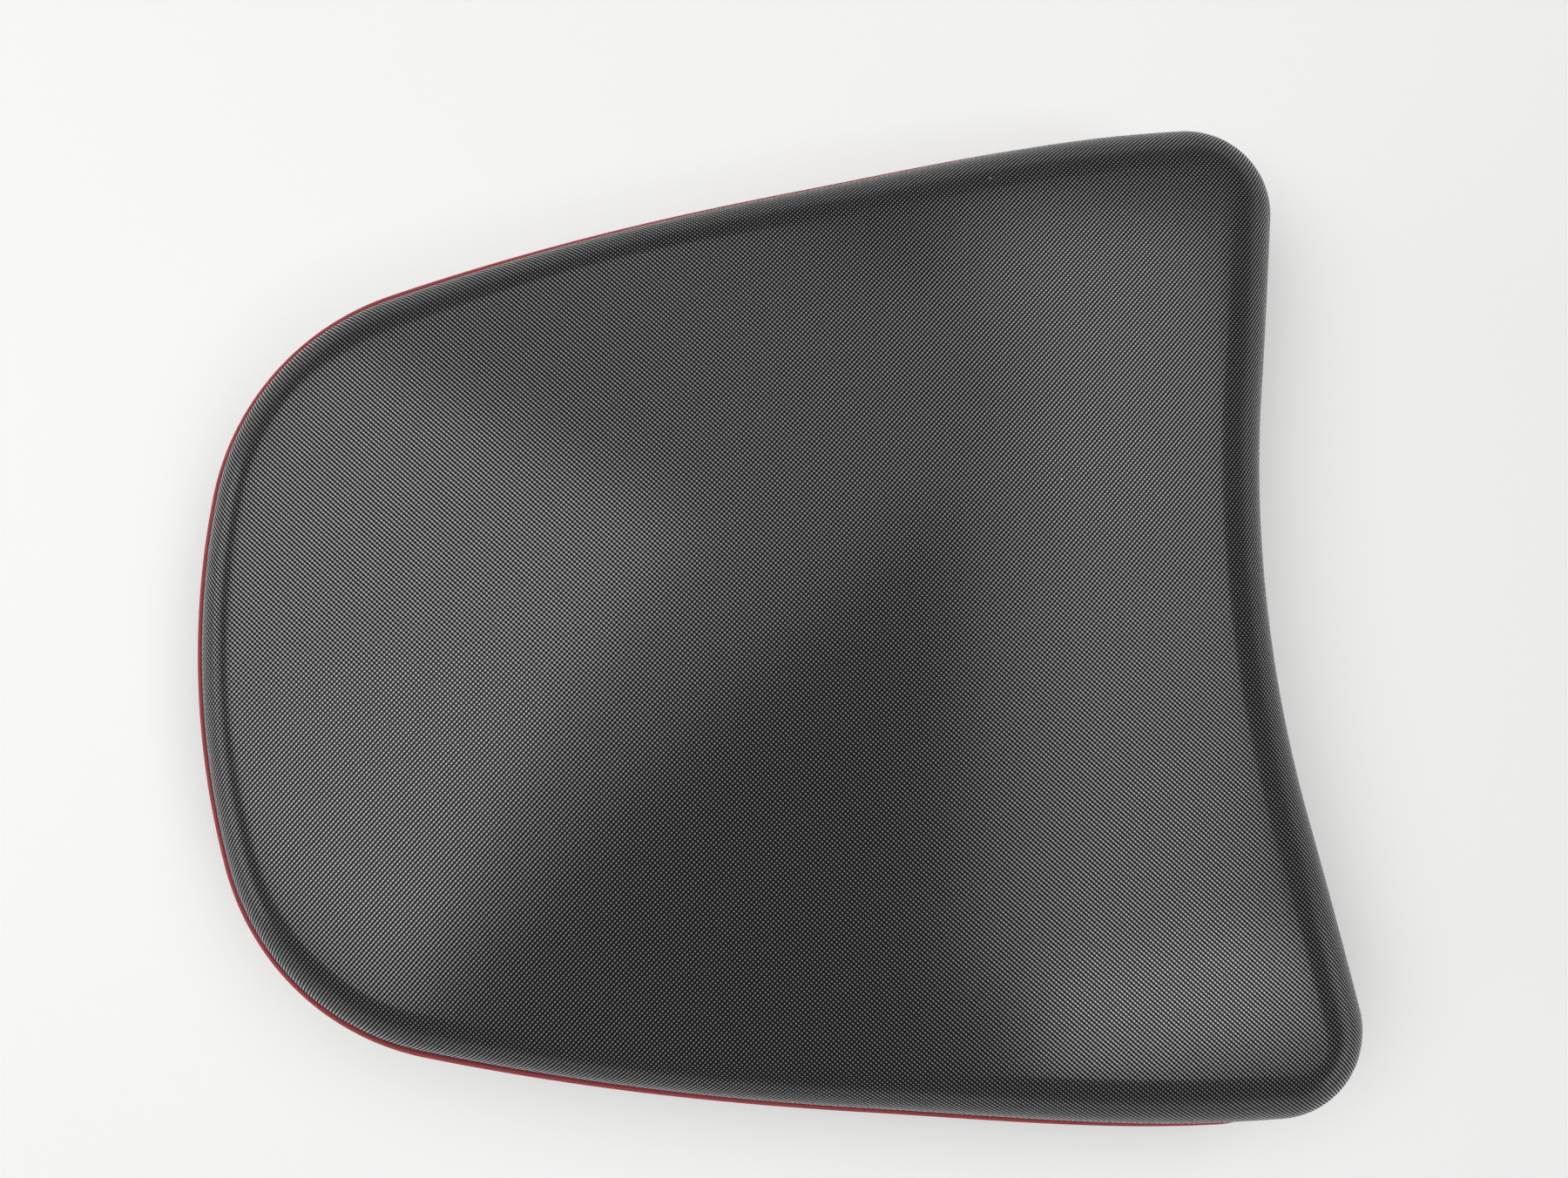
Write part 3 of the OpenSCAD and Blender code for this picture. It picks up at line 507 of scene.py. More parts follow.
def make_foam():
    o = edge
    inside = cover_thick + soft_gap + slack_gap * o.change(slack_start, slack_length)
    rings = panel_rings(o, inside, DOME_SHARES[::2], 8)[0]
    lip = welt_radius + cover_thick + GROOVE_LIP
    slot = welt_cloth + sew_gap + cover_thick + soft_gap
    groove = o.lap + 2 * sew_gap
    seam = np.maximum(o.seam, pan_wall_z + lip + cover_thick)
    upper = np.minimum(seam + lip, o.widest - sew_gap)
    for z, depth in ((upper, 0.0), (seam + slot, groove), (seam - slot, groove), (seam - lip, 0.0)):
        rings.append(o.ring(o.skin(z, inside) + depth, z))
    rings += fall_rings(o, inside, seam - lip, pan_wall_z + soft_gap, 3)[0]
    riser = draw_in + cover_thick + ledge_width
    rest = floor_top_z + soft_gap
    rings.append(o.ring(riser, pan_wall_z + soft_gap))
    floor_line = o.inset(np.broadcast_to(riser, o.step.shape))
    for share in (1.0, 0.8, 0.55, 0.3, 0.1):
        rings.append(np.column_stack([share * floor_line, np.full(len(floor_line), rest)]))
    return two_tip_shell("foam_pad", rings, (seat_height - cover_thick - soft_gap, rest))


cover_top = make_top_panel()
cover_band = make_side_band()
welt = make_welt()
foam_pad = make_foam()

# ---------------------------------------------------------------- node trees

FLOAT, VECTOR, WHOLE = "NodeSocketFloat", "NodeSocketVector", "NodeSocketInt"
GEOMETRY, MATERIAL = "NodeSocketGeometry", "NodeSocketMaterial"


def new_tree(name, kind, inputs, outputs):
    """An empty node group with named sockets, and its input sockets."""
    tree = bpy.data.node_groups.new(name, kind)
    for way, sockets in (("INPUT", inputs), ("OUTPUT", outputs)):
        for label, socket_type, *start in sockets:
            socket = tree.interface.new_socket(name=label, in_out=way, socket_type=socket_type)
            if start:
                socket.default_value = start[0]
    return tree, tree.nodes.new("NodeGroupInput").outputs


def end_tree(tree, *results):
    """The group with its outputs fed."""
    add_node(tree, "NodeGroupOutput", *results)
    return tree


def feed(tree, socket, value):
    """Link a socket to another one, or set it to a plain value."""
    if isinstance(value, bpy.types.NodeSocket):
        tree.links.new(value, socket)
    elif value is not None:
        socket.default_value = value


def add_node(tree, kind, *fed, setup=(), **named):
    """A node with its first inputs and its named ones fed; setup holds its own settings."""
    node = tree.nodes.new(kind)
    for label, value in dict(setup).items():
        setattr(node, label, value)
    for socket, value in zip(node.inputs, fed):
        feed(tree, socket, value)
    for label, value in named.items():
        feed(tree, node.inputs[label.replace("_", " ")], value)
    return node


def math_node(tree, operation, *values, clamp=False):
    """A Math node's output; the values are sockets or numbers."""
    setup = {"operation": operation, "use_clamp": clamp}
    return add_node(tree, "ShaderNodeMath", *values, setup=setup).outputs[0]


def vector_node(tree, operation, *values, **named):
    """A Vector Math node's output, which is a length for DISTANCE and a vector otherwise."""
    node = add_node(tree, "ShaderNodeVectorMath", *values, setup={"operation": operation}, **named)
    return node.outputs["Value" if operation == "DISTANCE" else "Vector"]


def noise_node(tree, vector, scale, detail, roughness):
    return add_node(tree, "ShaderNodeTexNoise", vector, Scale=scale, Detail=detail,
                    Roughness=roughness).outputs["Fac"]


def range_node(tree, value, low, high, to_low=0.0, to_high=1.0, smooth_ends=False):
    setup = {"interpolation_type": "SMOOTHSTEP" if smooth_ends else "LINEAR"}
    return add_node(tree, "ShaderNodeMapRange", value, low, high, to_low, to_high,
                    setup=setup).outputs["Result"]


def axes_of(tree, vector):
    return add_node(tree, "ShaderNodeSeparateXYZ", vector).outputs


# ---------------------------------------------------------------- shader groups

MOST_LEAN = 0.42


def weave_group():
    """Embossed weave: flat-topped crossings in a staggered grid, each a little uneven. Pull
    draws them into rows where the cloth is stretched over the corners of its u and v axes."""
    tree, given = new_tree(
        "weave_emboss", "ShaderNodeTree",
        [("Cloth", VECTOR), ("Cell", FLOAT, 0.0014), ("Wander", FLOAT, 0.00008),
         ("Pull", FLOAT, 0.0)],
        [("Height", FLOAT), ("Crown", FLOAT)],
    )
    wander = add_node(tree, "ShaderNodeTexNoise", given["Cloth"], Scale=90.0, Detail=1.0)
    centred = vector_node(tree, "SUBTRACT", wander.outputs["Color"], (0.5, 0.5, 0.5))
    shifted = vector_node(tree, "SCALE", centred, Scale=given["Wander"])
    place = axes_of(tree, vector_node(tree, "ADD", given["Cloth"], shifted))
    waves, slopes = [], []
    for axis in ("X", "Y"):
        turns = math_node(tree, "DIVIDE", place[axis], given["Cell"])
        angle = math_node(tree, "MULTIPLY", turns, 2 * math.pi)
        waves.append(math_node(tree, "COSINE", angle))
        slopes.append(math_node(tree, "SINE", angle))
    corner = math_node(tree, "MULTIPLY", place["X"], place["Y"])
    lean = range_node(tree, math_node(tree, "MULTIPLY", corner, given["Pull"]),
                      -MOST_LEAN, MOST_LEAN, -MOST_LEAN, MOST_LEAN)
    rows = math_node(tree, "MULTIPLY", lean, math_node(tree, "MULTIPLY", *slopes))
    crossing = math_node(tree, "MULTIPLY_ADD", *waves, rows)
    height = range_node(tree, crossing, -0.70, 0.22, smooth_ends=True)
    crown = range_node(tree, crossing, 0.40, 0.80, smooth_ends=True)
    return end_tree(tree, height, crown)


def grain_group():
    """Fine pebbled grain of moulded or rolled plastic."""
    tree, given = new_tree(
        "fine_grain", "ShaderNodeTree",
        [("Place", VECTOR), ("Scale", FLOAT, 1500.0)],
        [("Height", FLOAT), ("Drift", FLOAT)],
    )
    place, scale = given["Place"], given["Scale"]
    cells = add_node(tree, "ShaderNodeTexVoronoi", place, Scale=scale).outputs["Distance"]
    speckle = noise_node(tree, place, math_node(tree, "MULTIPLY", scale, 2.1), 3.0, 0.6)
    drift = noise_node(tree, place, math_node(tree, "MULTIPLY", scale, 0.02), 3.0, 0.55)
    return end_tree(tree, math_node(tree, "MULTIPLY_ADD", cells, -0.6, speckle), drift)


def dust_group():
    """Sparse pale specks: a few of the cells hold a small round one."""
    tree, given = new_tree(
        "dust_specks", "ShaderNodeTree",
        [("Place", VECTOR), ("Scale", FLOAT, 130.0), ("Size", FLOAT, 0.035),
         ("Share", FLOAT, 0.12)],
        [("Mask", FLOAT)],
    )
    cells = add_node(tree, "ShaderNodeTexVoronoi", given["Place"], Scale=given["Scale"]).outputs
    near = math_node(tree, "LESS_THAN", cells["Distance"], given["Size"])
    lot = add_node(tree, "ShaderNodeSeparateColor", cells["Color"]).outputs[0]
    chosen = math_node(tree, "LESS_THAN", lot, given["Share"])
    return end_tree(tree, math_node(tree, "MULTIPLY", near, chosen))


def wear_group():
    """A mask round one place, broken up by noise, where a piece is rubbed or scuffed."""
    tree, given = new_tree(
        "contact_wear", "ShaderNodeTree",
        [("Place", VECTOR), ("Centre", VECTOR), ("Reach", FLOAT, 0.01), ("Breakup", FLOAT, 900.0)],
        [("Mask", FLOAT)],
    )
    gap = vector_node(tree, "DISTANCE", given["Place"], given["Centre"])
    far = math_node(tree, "DIVIDE", gap, given["Reach"])
    near = math_node(tree, "SUBTRACT", 1.0, far, clamp=True)
    broken = noise_node(tree, given["Place"], given["Breakup"], 4.0, 0.6)
    mask = range_node(tree, math_node(tree, "MULTIPLY", near, broken), 0.16, 0.34, smooth_ends=True)
    return end_tree(tree, mask)


WEAVE, GRAIN, DUST, WEAR = weave_group(), grain_group(), dust_group(), wear_group()

# ---------------------------------------------------------------- materials


class Finish:
    """A material under construction: its tree, its Principled shader and its coordinates."""

    def __init__(self, name, **constants):
        self.material = bpy.data.materials.new(name)
        self.material.use_nodes = True
        self.tree = self.material.node_tree
        self.shader = self.tree.nodes["Principled BSDF"]
        self.place = self.tree.nodes.new("ShaderNodeTexCoord").outputs["Object"]
        self.feed(**constants)

    def feed(self, **named):
        """The material, with its shader's inputs fed."""
        for label, value in named.items():
            feed(self.tree, self.shader.inputs[label.replace("_", " ")], value)
        return self.material

    def cloth(self):
        setup = {"uv_map": "cloth_metres"}
        return add_node(self.tree, "ShaderNodeUVMap", setup=setup).outputs["UV"]

    def group(self, group, **named):
        setup = {"node_tree": group}
        return add_node(self.tree, "ShaderNodeGroup", setup=setup, **named).outputs

    def blend(self, share, first, second):
        """A colour between two, by a mask."""
        setup = {"data_type": "RGBA", "clamp_factor": True}
        node = add_node(self.tree, "ShaderNodeMix", setup=setup)
        feed(self.tree, next(s for s in node.inputs if s.type == "VALUE"), share)
        for socket, value in zip((s for s in node.inputs if s.type == "RGBA"), (first, second)):
            feed(self.tree, socket, (*value, 1.0) if isinstance(value, tuple) else value)
        return next(s for s in node.outputs if s.type == "RGBA")

    def span(self, *given, smooth_ends=False):
        """A mask or value spread from one range to another."""
        return range_node(self.tree, *given, smooth_ends=smooth_ends)

    def bump(self, height, distance, under=None):
        """The normal of a relief of this depth, on top of the relief under it."""
        return add_node(self.tree, "ShaderNodeBump", Height=height, Distance=distance,
                        Strength=1.0, Normal=under).outputs["Normal"]


def woven_vinyl(name, pull):
    """Black vinyl with an embossed weave: topcoat on the crowns, dull valleys, a little dust, and the
    crowns painted pale grey as painted glints.
    """
    f = Finish(name, Specular_IOR_Level=0.25, Coat_IOR=TOPCOAT_IOR, Coat_Roughness=TOPCOAT_ROUGH)
    weave = f.group(WEAVE, Cloth=f.cloth(), Cell=WEAVE_CELL, Pull=pull)
    grain = f.group(GRAIN, Place=f.place, Scale=2600.0)
    dust = f.group(DUST, Place=f.place, Scale=95.0, Size=0.022, Share=0.16)
    tone = f.blend(grain["Drift"], (0.0030, 0.0031, 0.0035), (0.0050, 0.0052, 0.0058))
    # Painted glints: the crowns are painted pale grey against the near-black valleys, standing in for
    # their sheen.
    tone = f.blend(weave["Crown"], tone, (0.215, 0.218, 0.228))
    return f.feed(
        Base_Color=f.blend(dust["Mask"], tone, (0.42, 0.42, 0.40)),
        Roughness=f.span(weave["Height"], 0.5, 1.0, 1.0, 0.6),
        Coat_Weight=f.span(weave["Height"], 0.75, 1.0),
        Normal=f.bump(weave["Height"], WEAVE_RELIEF, f.bump(grain["Height"], 0.00001)),
    )


def red_cloth():
    """Crimson welt cloth: a fine diagonal rib with paler thread tops painted in as highlights, and
    painted shade down in the seam.
    """
    f = Finish("red_piping")
    cloth = f.cloth()
    weave = f.group(WEAVE, Cloth=cloth, Cell=0.00085, Wander=0.00012)
    grain = f.group(GRAIN, Place=f.place, Scale=5200.0)
    tone = f.blend(grain["Drift"], (0.28, 0.015, 0.024), (0.38, 0.026, 0.036))
    # Painted highlights: the thread tops are painted a paler red, standing in for their sheen.
    tone = f.blend(weave["Crown"], tone, (0.66, 0.18, 0.19))
    # Painted shade: the cloth next to the seam, on the bead's upper and lower sides, is painted near
    # black as the crease's shade.
    girth, full = axes_of(f.tree, cloth)["Y"], 2 * math.pi * welt_radius
    above = f.span(girth, 0.20 * full, 0.33 * full, smooth_ends=True)
    below = f.span(girth, 0.68 * full, 0.84 * full, 1.0, 0.0, smooth_ends=True)
    out_of_painted_shade = math_node(f.tree, "MULTIPLY", above, below)
    return f.feed(
        Base_Color=f.blend(out_of_painted_shade, (0.050, 0.006, 0.010), tone),
        Roughness=f.span(weave["Crown"], 0.0, 1.0, 0.85, 0.6),
        Normal=f.bump(weave["Height"], 0.00007, f.bump(grain["Height"], 0.00002)),
    )


def fibre():
    f = Finish("cord_fibre")
    grain = f.group(GRAIN, Place=f.place, Scale=3200.0)
    # Darker down in the low spots of the grain relief: painted shade in the recesses.
    return f.feed(
        Base_Color=f.blend(grain["Height"], (0.44, 0.42, 0.37), (0.66, 0.64, 0.58)),
        Roughness=f.span(grain["Drift"], 0.3, 0.7, 0.95, 0.8),
        Normal=f.bump(grain["Height"], 0.00008),
    )


def open_foam():
    f = Finish("foam")
    grain = f.group(GRAIN, Place=f.place, Scale=900.0)
    # The low pores of the relief are painted darker: painted shade in the recesses.
    pores = f.span(grain["Height"], -0.1, 0.35, smooth_ends=True)
    tone = f.blend(grain["Drift"], (0.62, 0.55, 0.34), (0.72, 0.66, 0.44))
    return f.feed(
        Base_Color=f.blend(pores, (0.40, 0.34, 0.20), tone),
        Roughness=f.span(pores, 0.0, 1.0, 1.0, 0.85),
        Normal=f.bump(grain["Height"], 0.0003),
    )


def moulded_plastic():
    """Black polypropylene with a spark-eroded texture and faint flow marks."""
    f = Finish("pan_plastic")
    grain = f.group(GRAIN, Place=f.place, Scale=1900.0)
    dust = f.group(DUST, Place=f.place, Scale=70.0, Size=0.02, Share=0.2)
    tone = f.blend(grain["Drift"], (0.030, 0.030, 0.031), (0.048, 0.048, 0.050))
    return f.feed(
        Base_Color=f.blend(dust["Mask"], tone, (0.24, 0.23, 0.21)),
        Roughness=f.span(grain["Drift"], 0.3, 0.7, 0.46, 0.60),
        Normal=f.bump(grain["Height"], 0.00006),
    )


def foot_rubber():
    """Black rubber, greyed and scuffed where it stands."""
    f = Finish("foot_rubber")
    grain = f.group(GRAIN, Place=f.place, Scale=2400.0)
    low = f.span(axes_of(f.tree, f.place)["Z"], 0.0, 0.0022, 1.0, 0.0)
    patches = f.span(grain["Drift"], 0.35, 0.65)
    scuff = math_node(f.tree, "MULTIPLY", low, patches, clamp=True)
    tone = f.blend(grain["Drift"], (0.018, 0.018, 0.018), (0.032, 0.032, 0.031))
    return f.feed(
        Base_Color=f.blend(scuff, tone, (0.13, 0.125, 0.115)),
        Roughness=f.span(scuff, 0.0, 1.0, 0.70, 0.92),
        Normal=f.bump(grain["Height"], 0.00004),
    )


def plated_metal(name, tone, dull, wear_place, wear_reach, grain_scale=1400.0, rough=(0.26, 0.44)):
    """Plated steel or brass: a mottled bright coat, rubbed to bare metal at one place."""
    f = Finish(name, Metallic=1.0)
    grain = f.group(GRAIN, Place=f.place, Scale=grain_scale)
    wear = f.group(WEAR, Place=f.place, Centre=wear_place, Reach=wear_reach)
    coat = f.blend(grain["Drift"], dull, tone)
    mottled = f.span(grain["Drift"], 0.3, 0.7, *rough)
    return f.feed(
        Base_Color=f.blend(wear["Mask"], coat, (0.50, 0.49, 0.47)),
        Roughness=f.span(wear["Mask"], 0.0, 1.0, mottled, 0.18),
        Normal=f.bump(grain["Height"], 0.00001),
    )


def middle_of(node):
    low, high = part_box(node)
    return tuple((a + b) / 2 for a, b in zip(low, high))


def lowest_of(node):
    return (*middle_of(node)[:2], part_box(node)[0][2])


WEAVE_CELL = 0.0014
WEAVE_RELIEF = 0.00020
CORNER_PULL = 90.0
TOPCOAT_IOR = 1.62
TOPCOAT_ROUGH = 0.18
ZINC, ZINC_DULL = (0.70, 0.68, 0.60), (0.54, 0.52, 0.46)

tongue_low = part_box("tail_tongue")[0]
blade_tip = (tongue_low[0], 0.0, tongue_low[2])

cover_vinyl = woven_vinyl("cover_vinyl", CORNER_PULL)
band_vinyl = woven_vinyl("band_vinyl", 0.0)
red_piping = red_cloth()
cord_fibre = fibre()
foam = open_foam()
pan_plastic = moulded_plastic()
rubber = foot_rubber()
loop_steel = plated_metal("loop_steel", ZINC, ZINC_DULL, lowest_of("latch_striker"), 0.014)
plate_steel = plated_metal("plate_steel", ZINC, ZINC_DULL, middle_of("striker_plate"), 0.012)
tongue_steel = plated_metal("tongue_steel", ZINC, ZINC_DULL, blade_tip, 0.022)
screw_steel = plated_metal("screw_steel", (0.72, 0.72, 0.70), (0.58, 0.58, 0.57),
                           lowest_of("striker_screws"), 0.004, 2200.0)
brass = plated_metal("insert_brass", (0.78, 0.60, 0.28), (0.62, 0.46, 0.20),
                     middle_of("striker_inserts"), 0.003, 2600.0)
staple_steel = plated_metal("staple_steel", (0.74, 0.74, 0.75), (0.60, 0.60, 0.62),
                            middle_of("staples_tail"), 0.003, 2600.0, (0.22, 0.36))

# ---------------------------------------------------------------- what repeats or follows a path


def geometry_tree(name, inputs):
    return new_tree(name, "GeometryNodeTree", [("Points", GEOMETRY), *inputs],
                    [("Result", GEOMETRY)])


def grow(tree, kind, *fed, **named):
    """The first output of a new node, such as its geometry."""
    return add_node(tree, kind, *fed, **named).outputs[0]


def vector_of(tree, x=0.0, y=0.0, z=0.0):
    return grow(tree, "ShaderNodeCombineXYZ", x, y, z)


def eased(tree, curve, count, radius):
    """The curve with its corners rounded."""
    return grow(tree, "GeometryNodeFilletCurve", curve, setup={"mode": "POLY"}, Count=count,
                Radius=radius)


def finished(tree, geometry, finish):
    """The tree, with its geometry made real and given its finish."""
    real = grow(tree, "GeometryNodeRealizeInstances", geometry)
    return end_tree(tree, grow(tree, "GeometryNodeSetMaterial", real, Material=finish))


def on_points(tree, points, instance):
    """The instance on each point, turned about the vertical by the point's own turn."""
    turn = grow(tree, "GeometryNodeInputNamedAttribute", "turn")
    euler = grow(tree, "FunctionNodeEulerToRotation", vector_of(tree, z=turn))
    return grow(tree, "GeometryNodeInstanceOnPoints", points, Instance=instance, Rotation=euler)


def staple_tree():
    """A U of flat wire with rounded bends, its crown under the hem and its legs up through it."""
    tree, given = geometry_tree("bent_staple", [
        ("Crown", FLOAT), ("Legs", FLOAT), ("Wire", FLOAT), ("Bend", FLOAT), ("Finish", MATERIAL)])
    wire = given["Wire"]
    from_middle = math_node(tree, "SUBTRACT", grow(tree, "GeometryNodeInputIndex"), 1.5)
    reach = math_node(tree, "MULTIPLY", math_node(tree, "SUBTRACT", given["Crown"], wire), 0.5)
    x = math_node(tree, "MULTIPLY", math_node(tree, "SIGN", from_middle), reach)
    is_end = math_node(tree, "GREATER_THAN", math_node(tree, "ABSOLUTE", from_middle), 1.0)
    half_wire = math_node(tree, "MULTIPLY", wire, 0.5)
    rise = math_node(tree, "MULTIPLY", is_end, math_node(tree, "ADD", given["Legs"], half_wire))
    place = vector_of(tree, x, 0.0, math_node(tree, "SUBTRACT", rise, half_wire))
    line = grow(tree, "GeometryNodeCurvePrimitiveLine")
    corners = grow(tree, "GeometryNodeResampleCurve", line, Count=4)
    bare = grow(tree, "GeometryNodeSetPosition", corners, Position=place)
    bent = eased(tree, bare, 4, given["Bend"])
    flat = grow(tree, "GeometryNodeCurvePrimitiveQuadrilateral", wire,
                math_node(tree, "MULTIPLY", wire, 2.0))
    section = eased(tree, flat, 2, math_node(tree, "MULTIPLY", wire, 0.2))
    staple = grow(tree, "GeometryNodeCurveToMesh", bent, Profile_Curve=section, Fill_Caps=True)
    return finished(tree, on_points(tree, given["Points"], staple), given["Finish"])


def weld_tree():
    """A fillet bead round a rod, rippled as it was laid."""
    tree, given = geometry_tree("fillet_bead", [
        ("Rod Radius", FLOAT), ("Bead", FLOAT), ("Ripples", FLOAT), ("Finish", MATERIAL)])
    ring = grow(tree, "GeometryNodeCurvePrimitiveCircle", 120, Radius=given["Rod Radius"])
    factor = add_node(tree, "GeometryNodeSplineParameter").outputs["Factor"]
    angle = math_node(tree, "MULTIPLY", given["Ripples"], 2 * math.pi)
    wave = math_node(tree, "SINE", math_node(tree, "MULTIPLY", factor, angle))
    swell = math_node(tree, "MULTIPLY_ADD", wave, 0.10, 1.0)
    laid = grow(tree, "GeometryNodeSetCurveRadius", ring, Radius=swell)
    bead = grow(tree, "GeometryNodeCurvePrimitiveCircle", 12, Radius=given["Bead"])
    tube = grow(tree, "GeometryNodeCurveToMesh", laid, Profile_Curve=bead)
    return finished(tree, on_points(tree, given["Points"], tube), given["Finish"])


def cord_tree():
    """Three twisted strands, seen as a spiral ripple on one round cord along the path."""
    tree, given = geometry_tree("twisted_cord", [
        ("Radius", FLOAT), ("Strand Depth", FLOAT), ("Lay", FLOAT), ("Sides", WHOLE),
        ("Finish", MATERIAL)])
    path = grow(tree, "GeometryNodeMeshToCurve", given["Points"])
    run = add_node(tree, "GeometryNodeSplineParameter").outputs["Length"]
    turns = math_node(tree, "DIVIDE", run, given["Lay"])
    twisted = grow(tree, "GeometryNodeSetCurveTilt", path,
                   Tilt=math_node(tree, "MULTIPLY", turns, 2 * math.pi))
    ring = grow(tree, "GeometryNodeCurvePrimitiveCircle", given["Sides"], Radius=given["Radius"])
    around = grow(tree, "GeometryNodeSplineParameter")
    strands = math_node(tree, "COSINE", math_node(tree, "MULTIPLY", around, 6 * math.pi))
    depth = math_node(tree, "MULTIPLY", given["Strand Depth"],
                      math_node(tree, "MULTIPLY_ADD", strands, 0.5, -0.5))
    spread = vector_node(tree, "SCALE", grow(tree, "GeometryNodeInputPosition"),
                         Scale=math_node(tree, "ADD", depth, 1.0))
    lobed = grow(tree, "GeometryNodeSetPosition", ring, Position=spread)
    tube = grow(tree, "GeometryNodeCurveToMesh", twisted, Profile_Curve=lobed, Fill_Caps=True)
    return finished(tree, grow(tree, "GeometryNodeSetShadeSmooth", tube), given["Finish"])


def grow_piece(name, tree, points, turns=None, edges=(), **values):
    """A plain mesh made by a geometry tree from points, with the tree's named inputs set."""
    seeds = bpy.data.meshes.new(name)
    seeds.from_pydata([tuple(p) for p in points], edges, [])
    if turns is not None:
        seeds.attributes.new("turn", "FLOAT", "POINT").data.foreach_set("value", turns)
    piece = link(name, seeds)
    made = piece.modifiers.new(tree.name, "NODES")
    made.node_group = tree
    for socket in tree.interface.items_tree:
        label = socket.name.replace(" ", "_")
        if socket.in_out == "INPUT" and label in values:
            made[socket.identifier] = values[label]
    graph = bpy.context.evaluated_depsgraph_get()
    mesh = bpy.data.meshes.new_from_object(piece.evaluated_get(graph))
    piece.modifiers.clear()
    piece.data = mesh
    bpy.data.meshes.remove(seeds)
    mesh.name = name
    for slot in reversed(range(len(mesh.materials))):
        if mesh.materials[slot] is None:
            mesh.materials.pop(index=slot)
    return piece


STAPLE_PITCH = 0.020
STAPLE_SIZES = {"Crown": 0.010, "Legs": 0.0035, "Wire": 0.0006, "Bend": 0.0009}
STAPLE_ROWS = {
    "tail": (0, TAIL_END, (1, -1)),
    "left": (TAIL_END, WELT_END, (1,)),
    "right": (TAIL_END, WELT_END, (-1,)),
    "front": (WELT_END + 2, sum(STRETCH_STEPS), (1, -1)),
}
ledge = Outline(fine=1)


def staple_places(first, last, sides):
    """Points and turns of the staples between two steps, on the left (1) and right (-1) side."""
    line = ledge.inset(draw_in + cover_thick + soft_gap + ledge_width / 2)[: ledge.half + 1]
    gaps = np.diff(line, axis=0)
    runs = running_length(line)
    length = runs[last] - runs[first]
    count = max(1, int(length / STAPLE_PITCH))
    at = runs[first] + length * (np.arange(count) + 0.5) / count
    i = np.searchsorted(runs, at, side="right") - 1
    share = ((at - runs[i]) / (runs[i + 1] - runs[i]))[:, None]
    places, turns = mix(line[i], line[i + 1], share), np.arctan2(gaps[i, 1], gaps[i, 0])
    points = [(x, side * y, hem_z) for side in sides for x, y in places]
    return points, [side * turn for side in sides for turn in turns]


staples = staple_tree()
for row, (first, last, sides) in STAPLE_ROWS.items():
    points, turns = staple_places(first, last, sides)
    piece = grow_piece(f"staple_row_{row}", staples, points, turns, Finish=staple_steel,
                       **STAPLE_SIZES)
    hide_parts(f"staples_{row}")
    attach(piece, BODY)

WELD_BEAD, WELD_RIPPLES, WELD_SINK = 0.0013, 24.0, 0.0003
loop_low, loop_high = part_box("latch_striker")
rod = loop_high[0] - loop_low[0]
leg_x, leg_y = (loop_low[0] + loop_high[0]) / 2, loop_high[1] - rod / 2
bead_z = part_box("striker_plate")[0][2] - WELD_SINK
welds = grow_piece("striker_welds", weld_tree(), [(leg_x, leg_y, bead_z), (leg_x, -leg_y, bead_z)],
                   [0.0, math.pi], Rod_Radius=rod / 2 + WELD_SINK, Bead=WELD_BEAD,
                   Ripples=WELD_RIPPLES, Finish=plate_steel)
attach(welds, BODY)

CORD_SIDES, CORD_LAY, STRAND_DEPTH = 15, 0.03, 0.12
cord_path = welt_centre(edge, welted_columns(edge, TUCK_START))
cord_edges = [(i, i + 1) for i in range(len(cord_path) - 1)]
welt_cord = grow_piece("welt_cord", cord_tree(), cord_path, edges=cord_edges, Sides=CORD_SIDES,
                       Lay=CORD_LAY, Radius=welt_radius - welt_cloth - sew_gap,
                       Strand_Depth=STRAND_DEPTH, Finish=cord_fibre)

# ---------------------------------------------------------------- finishes and what pieces stand for

NODE_FINISH = {
    "base_pan": pan_plastic,
    "latch_striker": loop_steel,
    "striker_plate": plate_steel,
    "striker_screws": screw_steel,
    "striker_inserts": brass,
    "tail_tongue": tongue_steel,
    "tongue_screws": screw_steel,
    "tongue_inserts": brass,
}
for place in ("front", "middle", "tail"):
    for side in ("left", "right"):
        NODE_FINISH[f"foot_{place}_{side}"] = rubber
for name, material in NODE_FINISH.items():
    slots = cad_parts[name].data.materials
    slots.clear()
    slots.append(material)

SOFT_PIECES = (
    (cover_top, "cover_top_panel", cover_vinyl, "cover_vinyl"),
    (cover_band, "cover_side_band", band_vinyl, "band_vinyl"),
    (welt, "seam_piping", red_piping, "red_piping"),
    (welt_cord, "piping_cord", cord_fibre, "cord_fibre"),
    (foam_pad, "foam_cushion", foam, "foam"),
)
for piece, node, material, slot in SOFT_PIECES:
    if not piece.data.materials:
        piece.data.materials.append(material)
    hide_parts(node)
    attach(piece, BODY)

# ---------------------------------------------------------------- floor and light

FLOOR_HALF = 2.4
WORLD_LIGHT = 0.05
WALL_TONE, WALL_FOOT, WALL_TOP = 0.86, 0.02, 0.42  # the wall fades between these heights


